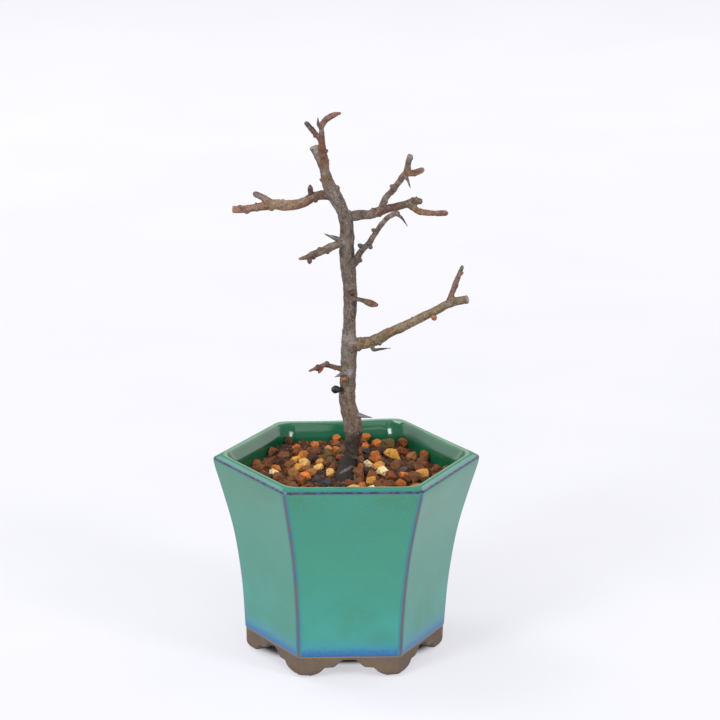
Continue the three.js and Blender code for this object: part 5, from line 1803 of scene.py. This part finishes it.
def grain_carrier():
    """One vertex for each large grain, with its size, turn, shape and tone."""
    rows = np.array([place for place in places if from_stems(place) > STEM_ROOM * place[2]])
    x, y, radius, rise, tone = rows.T
    z = soil_height(x, y) - radius * GRAIN_SINK + rise
    mesh = mesh_of("places", np.stack([x, y, z], axis=1), [])
    draw = seeded_draw(GRAIN_SEED + 2)
    size, turn, shape = [], [], []
    for r in radius:
        size.append([r * (share + STRETCH_SPREAD * draw()) for share in GRAIN_STRETCH])
        turn.append([GRAIN_TILT * (draw() - 0.5), GRAIN_TILT * (draw() - 0.5), 2 * math.pi * draw()])
        shape.append(int(draw() * GRAIN_SHAPES))
    store(mesh, "grain_size", "FLOAT_VECTOR", np.array(size) * MM)
    store(mesh, "grain_turn", "FLOAT_VECTOR", turn)
    store(mesh, "grain_shape", "INT", shape)
    store(mesh, "grain_tone", "FLOAT", tone)
    return mesh


# A collection is read as separate shapes, each at its own origin
COLLECTION_PLACE = {"transform_space": "ORIGINAL"}
EACH_SHAPE = {"Separate Children": True, "Reset Children": True}


def laying_tree(material):
    """Lays a shape on each point, in the size and turn that the point gives."""
    tree, size = new_geometry_tree("laying_grains", {
        "Shapes": "NodeSocketCollection", "Size": "NodeSocketFloat"})
    turn, stretch, shape = (
        add_node(tree, "GeometryNodeInputNamedAttribute", {"data_type": kind}, {"Name": name})
        for name, kind in (("grain_turn", "FLOAT_VECTOR"), ("grain_size", "FLOAT_VECTOR"),
                           ("grain_shape", "INT")))
    rotation = add_node(tree, "FunctionNodeEulerToRotation", {}, {0: turn})
    scale = add_node(tree, "ShaderNodeVectorMath", {"operation": "SCALE"},
                     {0: stretch, "Scale": size["Size"]})
    shapes = add_node(tree, "GeometryNodeCollectionInfo", COLLECTION_PLACE,
                      {"Collection": size["Shapes"], **EACH_SHAPE})
    laid = add_node(tree, "GeometryNodeInstanceOnPoints", {}, {
        "Points": size["Geometry"], "Instance": shapes, "Pick Instance": True, "Instance Index": shape,
        "Rotation": rotation, "Scale": scale})
    close_tree(tree, laid, material)
    return tree


def crumb_tree(material):
    """Scatters small broken bits over the bed, at least a spacing apart."""
    tree, size = new_geometry_tree("scattering_crumbs", {
        "Shapes": "NodeSocketCollection", "Spacing": "NodeSocketFloat", "Smallest": "NodeSocketFloat",
        "Largest": "NodeSocketFloat", "Seed": "NodeSocketInt"})
    normal = add_node(tree, "GeometryNodeInputNormal")
    up = add_node(tree, "ShaderNodeSeparateXYZ", {}, {0: normal}).outputs["Z"]
    on_top = add_node(tree, "FunctionNodeCompare", {"operation": "GREATER_THAN"}, {0: up, 1: CRUMBS_WHERE_UP})
    points = add_node(tree, "GeometryNodeDistributePointsOnFaces", {"distribute_method": "POISSON"}, {
        "Mesh": size["Geometry"], "Selection": on_top, "Distance Min": size["Spacing"],
        "Density Max": CRUMB_DENSITY, "Seed": size["Seed"]})
    radius = add_node(tree, "FunctionNodeRandomValue", {},
                      {2: size["Smallest"], 3: size["Largest"], "Seed": size["Seed"]}).outputs[1]
    turn = add_node(tree, "FunctionNodeRandomValue", {"data_type": "FLOAT_VECTOR"},
                    {1: (FULL_TURN, FULL_TURN, FULL_TURN), "Seed": size["Seed"]})
    rotation = add_node(tree, "FunctionNodeEulerToRotation", {}, {0: turn})
    shapes = add_node(tree, "GeometryNodeCollectionInfo", COLLECTION_PLACE,
                      {"Collection": size["Shapes"], **EACH_SHAPE})
    laid = add_node(tree, "GeometryNodeInstanceOnPoints", {}, {
        "Points": points, "Instance": shapes, "Pick Instance": True, "Rotation": rotation, "Scale": radius})
    tone = add_node(tree, "FunctionNodeRandomValue", {}, {3: CRUMB_TONES, "Seed": TONE_SEED}).outputs[1]
    toned = add_node(tree, "GeometryNodeStoreNamedAttribute", {"domain": "INSTANCE"},
                     {"Geometry": laid, "Name": "grain_tone", "Value": tone})
    close_tree(tree, toned, material)
    return tree


def keep_in_place(mesh):
    """Pushes points back inside the walls and out of the stem and the roots."""
    points = vertices_of(mesh)
    limit = cavity_apothem(points[:, 2]) - CLEARANCE - WALL_GAP
    for angle in FACE_BEARINGS:
        bearing = np.array([math.cos(angle), math.sin(angle)])
        over = np.clip(points[:, :2] @ bearing - limit, 0, None)
        points[:, :2] -= over[:, None] * bearing
    for limb in stems:
        low = limb["centre"][:, 2] < MOUND_TOP + STEM_BELOW
        for centre, radius in zip(limb["centre"][low], limb["radius"][low]):
            offset = points - centre
            away = np.linalg.norm(offset, axis=1)
            near = away < radius + STEM_GAP
            points[near] = centre + offset[near] / away[near, None] * (radius + STEM_GAP)
    mesh.vertices.foreach_set("co", (points * MM).ravel())
    mesh.update()


grains = grain_material()
shapes = shape_collection(GRAIN_SHAPES, GRAIN_CORNERS, SHAPE_SEED, True)
grain_mesh = grown_mesh(grain_carrier(), laying_tree(grains), {"Shapes": shapes, "Size": 1.0})
keep_in_place(grain_mesh)
clear_collection(shapes)
finish_piece(place_piece("soil_grains", grain_mesh), "soil")

# %% The bed and its crumbs
bed = bed_mesh()
shapes = shape_collection(CRUMB_SHAPES, CRUMB_CORNERS, CRUMB_SHAPE_SEED, False)
crumbs = grown_mesh(bed.copy(), crumb_tree(grains), {
    "Shapes": shapes, "Spacing": CRUMB_SPACING * MM, "Seed": CRUMB_SEED,
    "Smallest": CRUMB_RADIUS[0] * MM, "Largest": CRUMB_RADIUS[1] * MM})
keep_in_place(crumbs)
clear_collection(shapes)
finish_piece(place_piece("soil_bed", bed, [bed_material()]), "soil")
finish_piece(place_piece("soil_crumbs", crumbs), "soil")

# %% [markdown]
# ## Floor and light
#
# The picture was taken on white, with a soft light from either side in front. The glaze mirrors both as
# small white streaks in the back corners of the pot. Two weaker lamps stand high, one in front and one
# behind on the left. Two panels behind give the pale sheen on the inner walls. The floor is a plain pale
# sheet that glows a little, more towards the back. This glow is painted light, and it also lightens the
# pot's shadow on the floor. Under the pot, where no light comes in, the glow is left out as a painted
# shadow. The surroundings are the same white.

# %% Floor and light
FLOOR_SIZE = 6.0
# The floor's glow is painted light. Where it fades out in an ellipse under the pot, that is a painted shadow.
FLOOR_GLOW = 0.57
BACK_GLOW = 1.32
BACK_DEPTHS = (0, 1300)
SHADE_MIDDLE = (0, 9, 0)
SHADE_REACH = (35, 27)
SHADE_EDGE = (0.9, 1.08)
ROOM_LIGHT = 0.5
LAMP_DISTANCE = 1.4
LAMP_AIM = Vector((0, 0, 0.075))
# Each lamp: azimuth and elevation in degrees, width and height in metres, and power in watts
LAMPS = {
    "left_softbox": (-131, 27, 0.34, 0.9, 15),
    "right_softbox": (-43, 27, 0.34, 0.9, 11.5),
    "key_softbox": (-95, 60, 1, 1, 4.2),
    "top_softbox": (150, 62, 0.5, 0.5, 6),
    "back_left_panel": (140, 24, 0.9, 0.9, 3.2),
    "back_right_panel": (40, 24, 0.9, 0.9, 3.2),
}


def add_floor():
    """A plain pale floor of white acrylic that glows as painted light, except for a painted shadow where the
    pot stands over it.
    """
    half = FLOOR_SIZE / 2 / MM
    corners = [(-half, -half, 0), (half, -half, 0), (half, half, 0), (-half, half, 0)]
    floor = place_piece("floor", mesh_of("floor", corners, [(0, 1, 2, 3)]))
    material, tree, shader = new_material("pale_floor_painted_glow_and_shadow",
                                          {"Roughness": 0.9, "Emission Color": "FAF9FF"})
    place = in_millimetres(tree)
    haze = add_node(tree, "ShaderNodeTexNoise", {}, {"Vector": place, "Scale": 0.01, "Detail": 2.0})
    tone = add_node(tree, "ShaderNodeValToRGB", {"stops": [(0.3, "85858A"), (0.7, "8A8A8F")]}, {"Fac": haze})
    # painted shadow: no glow inside an ellipse under the pot
    moved = add_node(tree, "ShaderNodeVectorMath", {"operation": "SUBTRACT"}, {0: place, 1: SHADE_MIDDLE})
    shrunk = add_node(tree, "ShaderNodeVectorMath", {"operation": "MULTIPLY"},
                      {0: moved, 1: (1 / SHADE_REACH[0], 1 / SHADE_REACH[1], 0.0)})
    away = add_node(tree, "ShaderNodeVectorMath", {"operation": "LENGTH"}, {0: shrunk}).outputs["Value"]
    depth = add_node(tree, "ShaderNodeSeparateXYZ", {}, {0: place}).outputs["Y"]
    shade, rise = (
        add_node(tree, "ShaderNodeMapRange", {"interpolation_type": "SMOOTHSTEP"},
                 {"Value": value, "From Min": low, "From Max": high, "To Min": start, "To Max": end})
        for value, (low, high), start, end in ((away, SHADE_EDGE, 0.0, FLOOR_GLOW),
                                               (depth, BACK_DEPTHS, 1.0, BACK_GLOW)))
    glow = add_node(tree, "ShaderNodeMath", {"operation": "MULTIPLY"}, {0: shade, 1: rise})
    set_inputs(shader, {"Base Color": tone, "Emission Strength": glow})
    floor.data.materials.append(material)


def add_softbox(name, azimuth, elevation, width, height, power):
    """A soft light that faces the pot. Azimuth counts from the right, elevation from the ground."""
    data = bpy.data.lights.new(name, "AREA")
    data.shape = "RECTANGLE"
    data.size = width
    data.size_y = height
    data.energy = power
    lamp = bpy.data.objects.new(name, data)
    away, up = math.radians(azimuth), math.radians(elevation)
    flat = math.cos(up)
    bearing = Vector((math.cos(away) * flat, math.sin(away) * flat, math.sin(up)))
    lamp.location = LAMP_AIM + bearing * LAMP_DISTANCE
    lamp.rotation_euler = bearing.to_track_quat("Z", "Y").to_euler()
    bpy.context.scene.collection.objects.link(lamp)


def add_room():
    """White surroundings that also light the object."""
    world = bpy.data.worlds.new("white_room")
    world.use_nodes = True
    background = world.node_tree.nodes["Background"]
    background.inputs["Strength"].default_value = ROOM_LIGHT
    background.inputs["Color"].default_value = linear("FCFCFF")
    bpy.context.scene.world = world


add_floor()
for name, measures in LAMPS.items():
    add_softbox(name, *measures)
add_room()
bpy.context.scene.view_settings.view_transform = "Standard"
print(len(LAMPS), "lamps")
